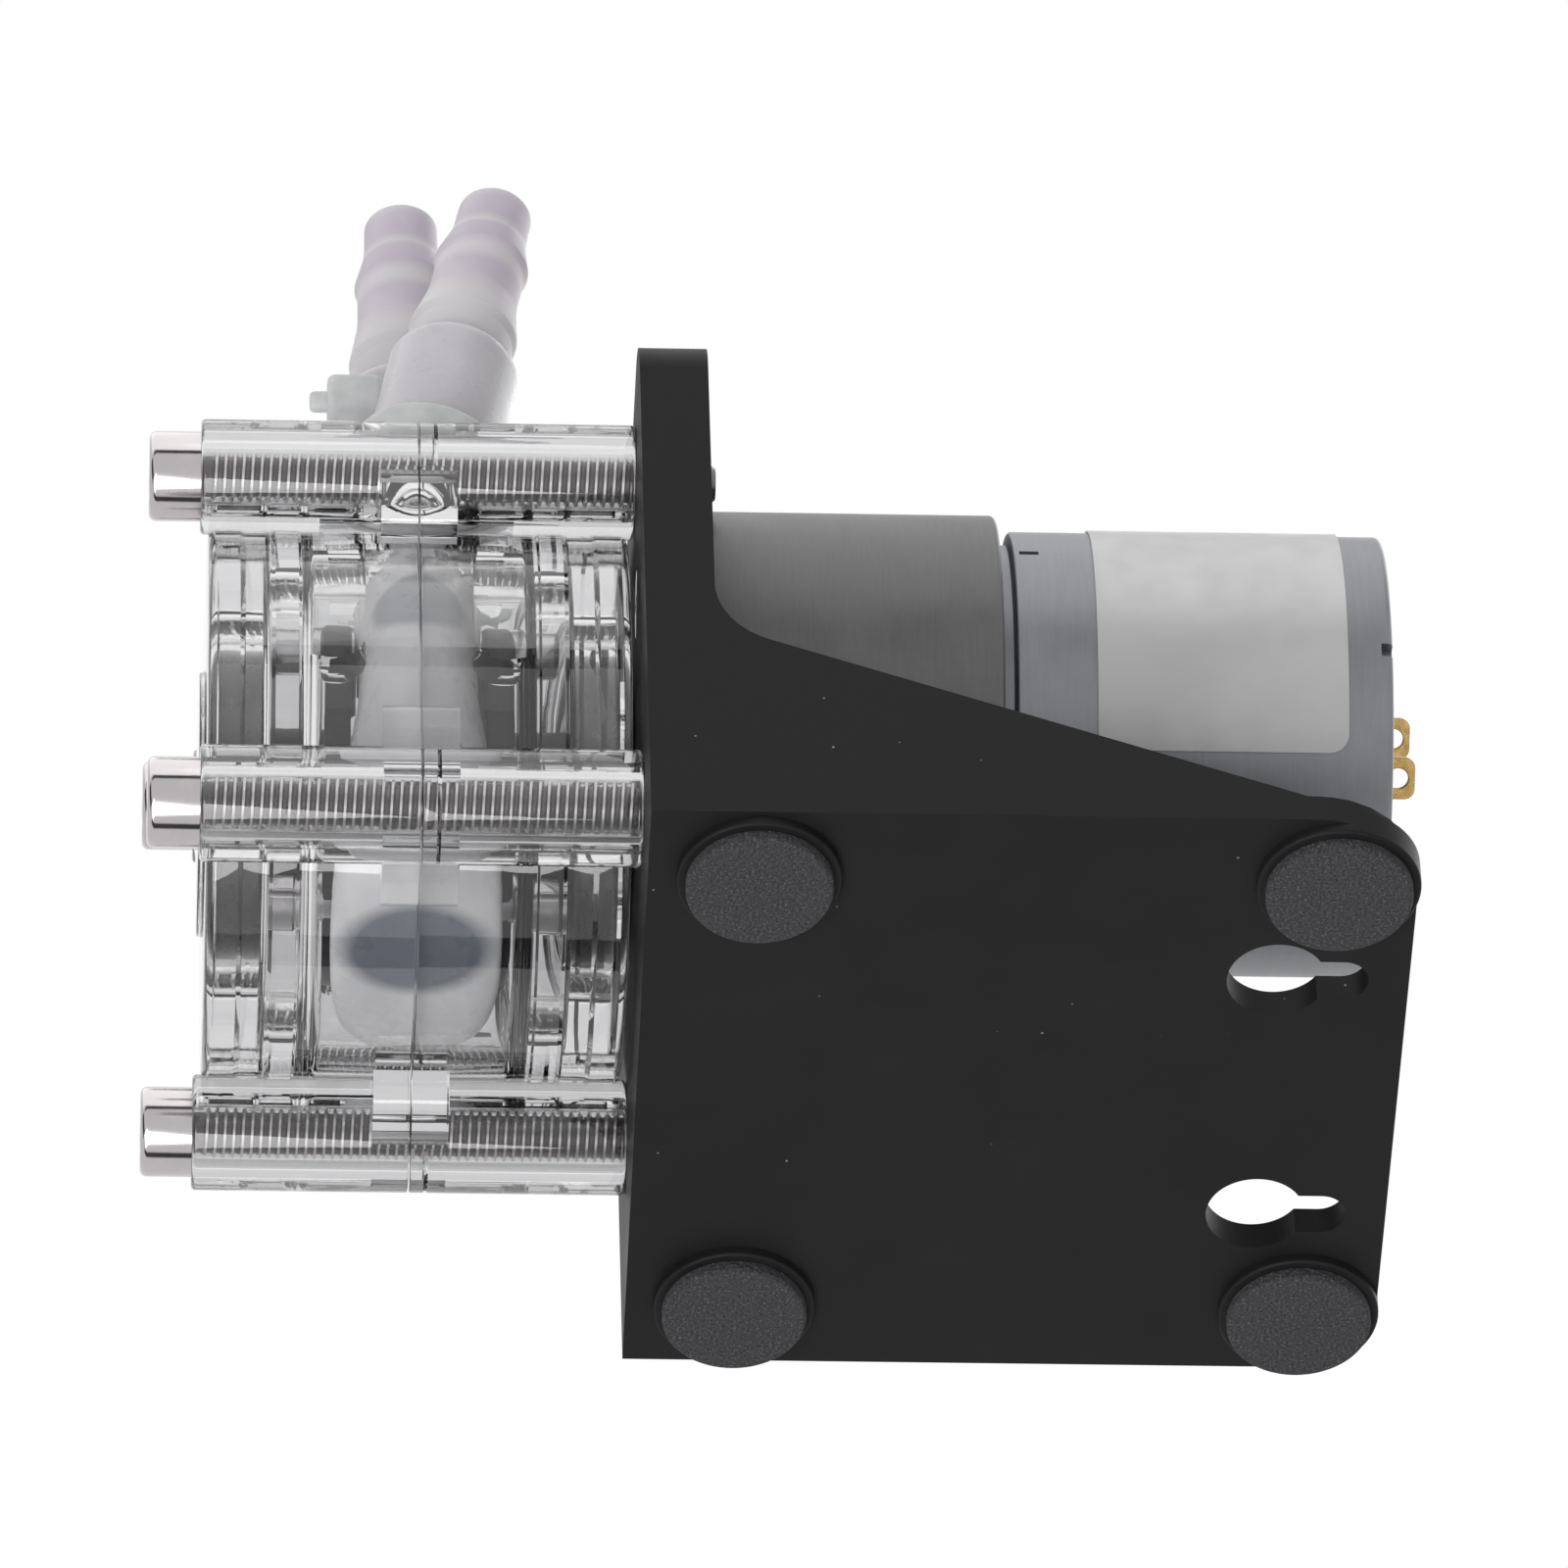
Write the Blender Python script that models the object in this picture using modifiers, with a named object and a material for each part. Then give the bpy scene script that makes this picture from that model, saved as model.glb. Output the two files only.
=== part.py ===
"""Peristaltic pump: clear roller head, geared motor and moulded bracket.

Metres, +Z up. The pump axis runs along Y: the clear head is in front (-Y) of the bracket's upright
plate and the motor is behind it (+Y). Z = 0 is the plane of the four foot pads.
"""

import math

import bmesh
import bpy
from mathutils import Matrix, Vector

for old in list(bpy.data.objects):
    bpy.data.objects.remove(old, do_unlink=True)

# Facets round the turned shapes
LARGE_FACETS = 48
MEDIUM_FACETS = 32
SMALL_FACETS = 20

# Bracket
BRACKET_WIDTH = 0.0600
BASE_LENGTH = 0.0583
BASE_THICKNESS = 0.0025
BASE_CORNER_RADIUS = 0.0080
PLATE_THICKNESS = 0.0053
PLATE_HEIGHT = 0.0542
PLATE_CORNER_RADIUS = 0.0055
PLATE_EDGE_ROUND = 0.0015
GUSSET_THICKNESS = 0.0030
GUSSET_TOP = 0.0203
GUSSET_FROM_REAR = 0.0087
GUSSET_FILLET = 0.0065
CHANNEL_STEP = 0.00015
AXIS_ABOVE_BASE = 0.0303
SHAFT_HOLE_CLEARANCE = 0.0003

# Feet and wall keyholes
FOOT_SPACING_X = 0.0468
FOOT_SPACING_Y = 0.0438
FOOT_FROM_REAR = 0.0061
FOOT_BOSS_RADIUS = 0.00625
FOOT_BOSS_HEIGHT = 0.0009
PAD_RADIUS = 0.0056
PAD_THICKNESS = 0.0011
KEYHOLE_SPACING = 0.0256
KEYHOLE_FROM_REAR = 0.0101
KEYHOLE_RADIUS = 0.0038
KEYHOLE_SLOT_WIDTH = 0.0040
KEYHOLE_SLOT_LENGTH = 0.0070

# Clear head
HEAD_LENGTH = 0.0337
BOSS_SPACING = 0.0360
BOSS_RADIUS = 0.0045
BODY_END_STEP = 0.0006
BODY_WALL = 0.0024
CENTRE_DISC_RADIUS = 0.0103
CENTRE_DISC_HEIGHT = 0.0005
RACEWAY_RADIUS = 0.0190
RACEWAY_WIDTH = 0.0174
RACEWAY_TOP = 0.00075
ROTOR_CAVITY_MARGIN = 0.0005
RECESS_MARGIN = 0.0009
RECESS_DEPTH = 0.0030
END_WALL = 0.0009
OUTLET_BLOCK_WIDTH = 0.0330
OUTLET_BLOCK_DEPTH = 0.0150
OUTLET_BLOCK_TOP = 0.0216
OUTLET_BLOCK_HEIGHT = 0.0156
SEAM_GAP = 0.0001

# Head screws and nuts, M4
SCREW_RADIUS = 0.00198
SCREW_LENGTH = 0.0400
SCREW_HEAD_RADIUS = 0.0035
SCREW_HEAD_HEIGHT = 0.0040
SCREW_HEAD_CHAMFER = 0.0003
SCREW_TIP_CHAMFER = 0.0006
SCREW_SOCKET_FLATS = 0.0030
SCREW_SOCKET_DEPTH = 0.0020
SCREW_CLEARANCE = 0.00022
NUT_FLATS = 0.0070
NUT_THICKNESS = 0.0032
NUT_CLEARANCE = 0.00015

# Rotor
ROLLER_COUNT = 3
ROLLER_START = math.radians(41.0)
ROLLER_PITCH_RADIUS = 0.0121
ROLLER_RADIUS = 0.0039
ROLLER_WIDTH = 0.0102
AXLE_RADIUS = 0.0020
AXLE_LENGTH = 0.0226
ROTOR_PLATE_RADIUS = 0.0140
ROTOR_PLATE_THICKNESS = 0.0025
ROTOR_SIDE_CLEARANCE = 0.0002
HUB_RADIUS = 0.0055
RUNNING_CLEARANCE = 0.0001
FIXED_CLEARANCE = 0.00005

# Rotor bearings
BEARING_OUTER_RADIUS = 0.0120
BEARING_BORE_RADIUS = 0.0061
BEARING_WIDTH = 0.0034

# Pump tube, joiners and ties
TUBE_OUTER_RADIUS = 0.0048
TUBE_WALL = 0.0016
TUBE_CLEARANCE = 0.0001
TUBE_WAY_START = 0.0050
TUBE_END_STRETCH = 0.0004
TUBE_STRETCH_TAPER = 0.0040
TUBE_KNEE_X = 0.0073
TUBE_KNEE_Z = 0.0245
TUBE_KNEE_LENGTH = 0.0035
TUBE_PRESSED_WIDTH = 0.0134
TUBE_PRESS_REACH = 0.0110
TUBE_PRESS_CLEARANCE = 0.0001
TUBE_BORE_LOSS = 0.3
RIGHT_END_X = 0.0063
RIGHT_END_Y = 0.0034
RIGHT_END_Z = 0.0431
LEFT_END_X = -0.0059
LEFT_END_Y = -0.0002
LEFT_END_Z = 0.0520
JOINER_BORE_RADIUS = 0.0020
JOINER_INSERT_LENGTH = 0.0130
JOINER_INSERT_CLEARANCE = 0.00025
JOINER_INSERT_TAPER = 0.0026
JOINER_TIP_RADIUS = 0.0029
JOINER_BARB_RADIUS = 0.0038
JOINER_ROOT_BARB_RADIUS = 0.0043
JOINER_BARB_STEP = 0.0003
JOINER_TIP_LENGTH = 0.0080
JOINER_BARB_LENGTH = 0.0088
JOINER_ROOT_LENGTH = 0.0032
TIE_WIDTH = 0.0036
TIE_THICKNESS = 0.0011
TIE_HEAD_LENGTH = 0.0034
TIE_HEAD_WIDTH = 0.0044
TIE_HEAD_OFFSET = 0.0042
TIE_TAIL_LENGTH = 0.0014
RIGHT_TIE_TURN = math.radians(199.0)
LEFT_TIE_TURN = math.radians(90.0)
RIGHT_TIE_FROM_END = 0.0116
LEFT_TIE_FROM_END = 0.0044

# Geared motor
GEARBOX_RADIUS = 0.0185
GEARBOX_LENGTH = 0.0231
GEARBOX_OFFSET = 0.0070
GEARBOX_EDGE_ROUND = 0.0008
NECK_RADIUS = 0.0060
NECK_LENGTH = 0.0050
SHAFT_RADIUS = 0.0030
SHAFT_FLAT = 0.0025
SHAFT_IN_ROTOR = 0.0150
SHAFT_CLEARANCE = 0.0001
MOUNT_SCREW_CIRCLE = 0.0155
MOUNT_SCREW_PLACES = (0, 3, 4, 5)
MOUNT_SCREW_PITCH = math.radians(60.0)
MOUNT_SCREW_RADIUS = 0.00147
MOUNT_SCREW_HEAD_RADIUS = 0.0028
MOUNT_SCREW_LENGTH = 0.0100
MOUNT_SCREW_CLEARANCE = 0.00015
MOTOR_RADIUS = 0.01725
MOTOR_LENGTH = 0.0301
MOTOR_GROOVE_WIDTH = 0.0008
MOTOR_GROOVE_RADIUS = 0.0162
MOTOR_EDGE_ROUND = 0.0006
END_CAP_RADIUS = 0.0150
END_CAP_THICKNESS = 0.0014
END_CAP_CLEARANCE = 0.0001
REAR_BOSS_RADIUS = 0.0040
REAR_BOSS_HEIGHT = 0.0011
TERMINAL_CIRCLE = 0.0085
TERMINAL_ANGLE = math.radians(-56.0)
TERMINAL_WIDTH = 0.0033
TERMINAL_THICKNESS = 0.0005
TERMINAL_REACH = 0.0024
TERMINAL_LONG_REACH = 0.0034
TERMINAL_HOLE_RADIUS = 0.0008
TERMINAL_HOLE_FROM_TIP = 0.00132
TERMINAL_CORNER_RADIUS = 0.0008
LABEL_THICKNESS = 0.00015
LABEL_GAP = 0.00005
LABEL_START = 0.0072
LABEL_LENGTH = 0.0194
LABEL_FIRST_ANGLE = math.radians(-44.5)
LABEL_SWEEP = math.radians(255.0)

# Places that follow from the sizes
AXIS_Z = PAD_THICKNESS + FOOT_BOSS_HEIGHT + AXIS_ABOVE_BASE
BASE_Z = AXIS_Z - AXIS_ABOVE_BASE
FRONT_REACH = HEAD_LENGTH + SCREW_HEAD_HEIGHT
REAR_REACH = PLATE_THICKNESS + GEARBOX_LENGTH + MOTOR_LENGTH + TERMINAL_LONG_REACH
PLATE_Y = (FRONT_REACH - REAR_REACH) / 2
PLATE_REAR_Y = PLATE_Y + PLATE_THICKNESS
SEAM_Y = PLATE_Y - HEAD_LENGTH / 2
HEAD_FRONT_Y = PLATE_Y - HEAD_LENGTH
MOTOR_AXIS_Z = AXIS_Z + GEARBOX_OFFSET
MOTOR_Y = PLATE_REAR_Y + GEARBOX_LENGTH
MOTOR_END_Y = MOTOR_Y + MOTOR_LENGTH
BODY_RADIUS = RACEWAY_RADIUS + BODY_WALL
BOSS_OFFSET = BOSS_SPACING / 2
HALF_HEAD = HEAD_LENGTH / 2
RACEWAY_HALF = RACEWAY_WIDTH / 2
RECESS_HALF = RACEWAY_HALF + RECESS_DEPTH
POCKET_HALF = HALF_HEAD - BODY_END_STEP - END_WALL
ROTOR_CAVITY_RADIUS = ROLLER_PITCH_RADIUS + ROLLER_RADIUS + ROTOR_CAVITY_MARGIN
RECESS_RADIUS = ROLLER_PITCH_RADIUS + AXLE_RADIUS + RECESS_MARGIN
JOURNAL_RADIUS = BEARING_BORE_RADIUS - RUNNING_CLEARANCE
ROTOR_INNER_HALF = ROLLER_WIDTH / 2 + ROTOR_SIDE_CLEARANCE
ROTOR_OUTER_HALF = ROTOR_INNER_HALF + ROTOR_PLATE_THICKNESS
JOURNAL_HALF = POCKET_HALF - ROTOR_SIDE_CLEARANCE
TUBE_ARC_RADIUS = RACEWAY_RADIUS - TUBE_CLEARANCE - TUBE_OUTER_RADIUS
RIGHT_END = Vector((RIGHT_END_X, RIGHT_END_Y, RIGHT_END_Z))
LEFT_END = Vector((LEFT_END_X, LEFT_END_Y, LEFT_END_Z))

product = bpy.data.collections.new("peristaltic_pump")
cutters = bpy.data.collections.new("cutters")
bpy.context.scene.collection.children.link(product)
bpy.context.scene.collection.children.link(cutters)


def material(name, colour, roughness, metallic, alpha=1.0):
    """A Principled material with one colour."""
    made = bpy.data.materials.new(name)
    made.use_nodes = True
    shader = made.node_tree.nodes["Principled BSDF"]
    shader.inputs["Base Color"].default_value = (*colour, 1.0)
    shader.inputs["Roughness"].default_value = roughness
    shader.inputs["Metallic"].default_value = metallic
    shader.inputs["Alpha"].default_value = alpha
    made.diffuse_color = (*colour, alpha)
    return made


BLACK_PLASTIC = material("black_plastic", (0.014, 0.014, 0.015), 0.45, 0.0)
FOAM = material("foam", (0.030, 0.030, 0.034), 0.95, 0.0)
CLEAR = material("clear_polycarbonate", (0.90, 0.90, 0.92), 0.05, 0.0, 0.3)
PLATED = material("plated_steel", (0.72, 0.70, 0.70), 0.18, 1.0)
STEEL = material("bearing_steel", (0.30, 0.31, 0.32), 0.35, 1.0)
NYLON = material("white_nylon", (0.78, 0.78, 0.76), 0.40, 0.0)
SILICONE = material("silicone", (0.74, 0.74, 0.76), 0.50, 0.0)
JOINER_PLASTIC = material("joiner_polypropylene", (0.68, 0.62, 0.70), 0.40, 0.0)
ZINC = material("zinc_casting", (0.28, 0.28, 0.29), 0.40, 1.0)
CAN = material("zinc_plated_can", (0.36, 0.37, 0.39), 0.35, 1.0)
BRASS = material("brass", (0.60, 0.40, 0.14), 0.30, 1.0)
PAPER = material("silver_label", (0.62, 0.62, 0.63), 0.45, 0.0)


def add(name, mesh, look, place=(0.0, 0.0, 0.0)):
    """Links a mesh as an object: a part when it has a material, a cutter when it has none."""
    thing = bpy.data.objects.new(name, mesh)
    thing.location = place
    if look is None:
        cutters.objects.link(thing)
        thing.hide_render = True
        thing.display_type = "WIRE"
    else:
        product.objects.link(thing)
        mesh.materials.append(look)
    return thing


def cylinder(name, look, radius, start, end, x=0.0, z=AXIS_Z, steps=LARGE_FACETS):
    """A cylinder along Y from y = start to y = end."""
    shape = bmesh.new()
    bmesh.ops.create_cone(
        shape,
        cap_ends=True,
        segments=steps,
        radius1=radius,
        radius2=radius,
        depth=end - start,
    )
    bmesh.ops.rotate(shape, verts=shape.verts, matrix=Matrix.Rotation(-math.pi / 2, 3, "X"))
    mesh = bpy.data.meshes.new(name)
    shape.to_mesh(mesh)
    shape.free()
    return add(name, mesh, look, (x, (start + end) / 2, z))


def box(name, look, low, high):
    """A box between two corners."""
    low = Vector(low)
    high = Vector(high)
    shape = bmesh.new()
    bmesh.ops.create_cube(shape, size=1.0)
    bmesh.ops.scale(shape, vec=high - low, verts=shape.verts)
    mesh = bpy.data.meshes.new(name)
    shape.to_mesh(mesh)
    shape.free()
    return add(name, mesh, look, (low + high) / 2)


def combine(target, tool, operation="DIFFERENCE"):
    """Adds an exact Boolean to the target."""
    step = target.modifiers.new(tool.name, "BOOLEAN")
    step.object = tool
    step.operation = operation
    step.solver = "EXACT"


def rounded(corners, steps=6):
    """Corner points (x, y, radius) with each corner replaced by an arc."""
    points = []
    for i, (x, y, radius) in enumerate(corners):
        here = Vector((x, y))
        if radius == 0:
            points.append(here)
            continue
        back = (Vector(corners[i - 1][:2]) - here).normalized()
        on = (Vector(corners[(i + 1) % len(corners)][:2]) - here).normalized()
        half = back.angle(on) / 2
        centre = here + (back + on).normalized() * radius / math.sin(half)
        first = here + back * radius / math.tan(half) - centre
        last = here + on * radius / math.tan(half) - centre
        for k in range(steps + 1):
            mix = first.lerp(last, k / steps)
            points.append(centre + mix.normalized() * radius)
    return points


def outline(name, look, points, depth):
    """A flat outline in local XY, extruded along local Z, as a mesh."""
    flat = bpy.data.curves.new(name, "CURVE")
    flat.dimensions = "2D"
    flat.fill_mode = "BOTH"
    flat.extrude = depth / 2
    line = flat.splines.new("POLY")
    line.points.add(len(points) - 1)
    for point, place in zip(line.points, points):
        point.co = (place[0], place[1], 0.0, 1.0)
    line.use_cyclic_u = True
    return add(name, solid_of_curve(name, flat), look)


def solid_of_curve(name, curve):
    """The mesh of a curve, with the doubled points along its caps made one."""
    holder = bpy.data.objects.new(name + "_curve", curve)
    bpy.context.scene.collection.objects.link(holder)
    graph = bpy.context.evaluated_depsgraph_get()
    mesh = bpy.data.meshes.new_from_object(holder.evaluated_get(graph))
    bpy.data.objects.remove(holder, do_unlink=True)
    shape = bmesh.new()
    shape.from_mesh(mesh)
    bmesh.ops.remove_doubles(shape, verts=shape.verts, dist=0.000002)
    bmesh.ops.recalc_face_normals(shape, faces=shape.faces)
    shape.to_mesh(mesh)
    shape.free()
    mesh.name = name
    return mesh


def lathe(name, look, profile, place, steps=LARGE_FACETS, closed=False):
    """Turns a profile of (radius, along) about Y at a place. It runs from the +Y end to the -Y end."""
    shape = bmesh.new()
    points = [shape.verts.new((radius, 0.0, along)) for radius, along in profile]
    for first, second in zip(points, points[1:]):
        shape.edges.new((first, second))
    if closed:
        shape.edges.new((points[-1], points[0]))
    mesh = bpy.data.meshes.new(name)
    shape.to_mesh(mesh)
    shape.free()
    thing = add(name, mesh, look, place)
    thing.rotation_euler = (-math.pi / 2, 0.0, 0.0)
    turn = thing.modifiers.new("turn", "SCREW")
    turn.axis = "Z"
    turn.steps = steps
    turn.render_steps = steps
    turn.use_merge_vertices = True
    turn.merge_threshold = 0.000001
    return thing


SIDE_VIEW = Matrix(((0, 0, 1, 0), (1, 0, 0, 0), (0, 1, 0, 0), (0, 0, 0, 1)))
FRONT_VIEW = Matrix.Rotation(math.pi / 2, 4, "X")

# Bracket: the side outline with the slope of the gussets, kept inside the rounded front outline and
# the rounded plan outline, then opened between the gussets.
HALF_WIDTH = BRACKET_WIDTH / 2
side = rounded(
    (
        (0.0, 0.0, 0.0),
        (BASE_LENGTH, 0.0, 0.0),
        (BASE_LENGTH, BASE_THICKNESS, 0.0),
        (BASE_LENGTH - GUSSET_FROM_REAR, BASE_THICKNESS, 0.0),
        (PLATE_THICKNESS, GUSSET_TOP, GUSSET_FILLET),
        (PLATE_THICKNESS, PLATE_HEIGHT, PLATE_EDGE_ROUND),
        (0.0, PLATE_HEIGHT, 0.0),
    )
)
bracket = outline("bracket", BLACK_PLASTIC, side, BRACKET_WIDTH)
bracket.matrix_world = Matrix.Translation((0.0, PLATE_Y, BASE_Z)) @ SIDE_VIEW

front = rounded(
    (
        (-HALF_WIDTH, 0.0, 0.0),
        (HALF_WIDTH, 0.0, 0.0),
        (HALF_WIDTH, PLATE_HEIGHT, PLATE_CORNER_RADIUS),
        (-HALF_WIDTH, PLATE_HEIGHT, PLATE_CORNER_RADIUS),
    )
)
front_outline = outline("bracket_front_outline", None, front, 4 * BASE_LENGTH)
front_outline.matrix_world = Matrix.Translation((0.0, PLATE_Y, BASE_Z)) @ FRONT_VIEW
combine(bracket, front_outline, "INTERSECT")

plan = rounded(
    (
        (-HALF_WIDTH, 0.0, 0.0),
        (HALF_WIDTH, 0.0, 0.0),
        (HALF_WIDTH, BASE_LENGTH, BASE_CORNER_RADIUS),
        (-HALF_WIDTH, BASE_LENGTH, BASE_CORNER_RADIUS),
    )
)
plan_outline = outline("bracket_plan_outline", None, plan, 4 * PLATE_HEIGHT)
plan_outline.location = (0.0, PLATE_Y, BASE_Z)
combine(bracket, plan_outline, "INTERSECT")

INNER_HALF = HALF_WIDTH - GUSSET_THICKNESS
channel = box(
    "bracket_channel",
    None,
    (-INNER_HALF, PLATE_REAR_Y + CHANNEL_STEP, BASE_Z + BASE_THICKNESS),
    (INNER_HALF, PLATE_Y + 2 * BASE_LENGTH, BASE_Z + 2 * PLATE_HEIGHT),
)
combine(bracket, channel)

# Foot bosses under the base, and the pads stuck to them.
REAR_FOOT = BASE_LENGTH - FOOT_FROM_REAR
for row, y in (("front", REAR_FOOT - FOOT_SPACING_Y), ("rear", REAR_FOOT)):
    for hand, x in (("left", -FOOT_SPACING_X / 2), ("right", FOOT_SPACING_X / 2)):
        boss_name = f"foot_boss_{row}_{hand}"
        boss = cylinder(boss_name, None, FOOT_BOSS_RADIUS, 0.0, FOOT_BOSS_HEIGHT * 2, steps=MEDIUM_FACETS)
        boss.rotation_euler = (math.pi / 2, 0.0, 0.0)
        boss.location = (x, PLATE_Y + y, BASE_Z)
        combine(bracket, boss, "UNION")
        pad_name = f"foot_pad_{row}_{hand}"
        pad = cylinder(pad_name, FOAM, PAD_RADIUS, 0.0, PAD_THICKNESS, steps=MEDIUM_FACETS)
        pad.rotation_euler = (math.pi / 2, 0.0, 0.0)
        pad.location = (x, PLATE_Y + y, PAD_THICKNESS / 2)

# Keyholes through the base: a round entry and a narrow slot towards the rear.
KEYHOLE_Y = PLATE_Y + BASE_LENGTH - KEYHOLE_FROM_REAR
for hand, x in (("left", -KEYHOLE_SPACING / 2), ("right", KEYHOLE_SPACING / 2)):
    entry_name = f"keyhole_{hand}"
    entry = cylinder(entry_name, None, KEYHOLE_RADIUS, 0.0, 4 * BASE_THICKNESS, steps=MEDIUM_FACETS)
    entry.rotation_euler = (math.pi / 2, 0.0, 0.0)
    entry.location = (x, KEYHOLE_Y, BASE_Z)
    combine(bracket, entry)
    half_slot = KEYHOLE_SLOT_WIDTH / 2
    slot = rounded(
        (
            (-half_slot, 0.0, 0.0),
            (half_slot, 0.0, 0.0),
            (half_slot, KEYHOLE_SLOT_LENGTH, half_slot * 0.98),
            (-half_slot, KEYHOLE_SLOT_LENGTH, half_slot * 0.98),
        )
    )
    slot_cut = outline(f"keyhole_slot_{hand}", None, slot, 4 * BASE_THICKNESS)
    slot_cut.location = (x, KEYHOLE_Y, BASE_Z)
    combine(bracket, slot_cut)

# Plate: the hole for the gearbox neck, four screw holes with nut pockets, four motor screw holes.
neck_hole = cylinder(
    "neck_hole",
    None,
    NECK_RADIUS + SHAFT_HOLE_CLEARANCE,
    PLATE_Y - PLATE_THICKNESS,
    PLATE_REAR_Y + PLATE_THICKNESS,
)
combine(bracket, neck_hole)

CORNERS = (
    ("top_right", BOSS_OFFSET, BOSS_OFFSET),
    ("top_left", -BOSS_OFFSET, BOSS_OFFSET),
    ("bottom_right", BOSS_OFFSET, -BOSS_OFFSET),
    ("bottom_left", -BOSS_OFFSET, -BOSS_OFFSET),
)
NUT_RADIUS = NUT_FLATS / math.sqrt(3)
screw_cuts = []
for corner, x, z in CORNERS:
    hole = cylinder(
        f"screw_hole_{corner}",
        None,
        SCREW_RADIUS + SCREW_CLEARANCE,
        HEAD_FRONT_Y - SCREW_HEAD_HEIGHT,
        PLATE_REAR_Y + PLATE_THICKNESS,
        x,
        AXIS_Z + z,
        steps=SMALL_FACETS,
    )
    screw_cuts.append(hole)
    combine(bracket, hole)
    pocket = cylinder(
        f"nut_pocket_{corner}",
        None,
        NUT_RADIUS + NUT_CLEARANCE,
        PLATE_REAR_Y - NUT_THICKNESS,
        PLATE_REAR_Y + NUT_THICKNESS,
        x,
        AXIS_Z + z,
        steps=6,
    )
    combine(bracket, pocket)
    nut = cylinder(
        f"nut_{corner}",
        PLATED,
        NUT_RADIUS,
        PLATE_REAR_Y - NUT_THICKNESS + FIXED_CLEARANCE,
        PLATE_REAR_Y,
        x,
        AXIS_Z + z,
        steps=6,
    )
    combine(nut, hole)
    screw = lathe(
        f"head_screw_{corner}",
        PLATED,
        (
            (0.0, SCREW_LENGTH),
            (SCREW_RADIUS - SCREW_TIP_CHAMFER, SCREW_LENGTH),
            (SCREW_RADIUS, SCREW_LENGTH - SCREW_TIP_CHAMFER),
            (SCREW_RADIUS, -FIXED_CLEARANCE),
            (SCREW_HEAD_RADIUS, -FIXED_CLEARANCE),
            (SCREW_HEAD_RADIUS, SCREW_HEAD_CHAMFER - SCREW_HEAD_HEIGHT),
            (SCREW_HEAD_RADIUS - SCREW_HEAD_CHAMFER, -SCREW_HEAD_HEIGHT),
            (0.0, -SCREW_HEAD_HEIGHT),
        ),
        (x, HEAD_FRONT_Y, AXIS_Z + z),
        steps=SMALL_FACETS,
    )
    socket = cylinder(
        f"screw_socket_{corner}",
        None,
        SCREW_SOCKET_FLATS / math.sqrt(3),
        HEAD_FRONT_Y - 2 * SCREW_HEAD_HEIGHT,
        HEAD_FRONT_Y - SCREW_HEAD_HEIGHT + SCREW_SOCKET_DEPTH,
        x,
        AXIS_Z + z,
        steps=6,
    )
    combine(screw, socket)

# Clear head: two halves that meet at the seam.
TUBE_BEND = math.atan2(TUBE_KNEE_Z, TUBE_KNEE_X)
TUBE_LEAVE = TUBE_BEND - math.acos(TUBE_ARC_RADIUS / math.hypot(TUBE_KNEE_X, TUBE_KNEE_Z))
head_axis = Vector((0.0, SEAM_Y, AXIS_Z))
right_line = Vector((-math.sin(TUBE_LEAVE), 0.0, math.cos(TUBE_LEAVE)))
left_line = Vector((math.sin(TUBE_LEAVE), 0.0, math.cos(TUBE_LEAVE)))
right_leave = TUBE_ARC_RADIUS * Vector((math.cos(TUBE_LEAVE), 0.0, math.sin(TUBE_LEAVE)))
left_leave = Vector((-right_leave.x, 0.0, right_leave.z))

tube_holes = []
for hand, leave, line in (("right", right_leave, right_line), ("left", left_leave, left_line)):
    length = 2 * BODY_RADIUS + TUBE_WAY_START
    hole_radius = TUBE_OUTER_RADIUS + TUBE_CLEARANCE
    hole = cylinder(f"tube_hole_{hand}", None, hole_radius, 0.0, length, steps=MEDIUM_FACETS)
    hole.rotation_euler = Vector((0.0, 1.0, 0.0)).rotation_difference(line).to_euler()
    hole.location = head_axis + leave + line * (length / 2 - TUBE_WAY_START)
    tube_holes.append(hole)

raceway = cylinder("raceway", None, RACEWAY_RADIUS, SEAM_Y - RACEWAY_HALF, SEAM_Y + RACEWAY_HALF)
above_raceway = box(
    "above_raceway",
    None,
    (-BRACKET_WIDTH, SEAM_Y - HEAD_LENGTH, AXIS_Z + RACEWAY_TOP),
    (BRACKET_WIDTH, SEAM_Y + HEAD_LENGTH, AXIS_Z + BRACKET_WIDTH),
)
combine(raceway, above_raceway)
cavity_front = SEAM_Y - RACEWAY_HALF
rotor_cavity = cylinder("rotor_cavity", None, ROTOR_CAVITY_RADIUS, cavity_front, cavity_front + RACEWAY_WIDTH)
recess = cylinder("axle_recess", None, RECESS_RADIUS, SEAM_Y - RECESS_HALF, SEAM_Y + RECESS_HALF)
pocket_radius = BEARING_OUTER_RADIUS + FIXED_CLEARANCE
pockets = cylinder("bearing_pockets", None, pocket_radius, SEAM_Y - POCKET_HALF, SEAM_Y + POCKET_HALF)
shaft_way = cylinder("shaft_way", None, NECK_RADIUS + SHAFT_HOLE_CLEARANCE, SEAM_Y, PLATE_Y + PLATE_THICKNESS)


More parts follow.
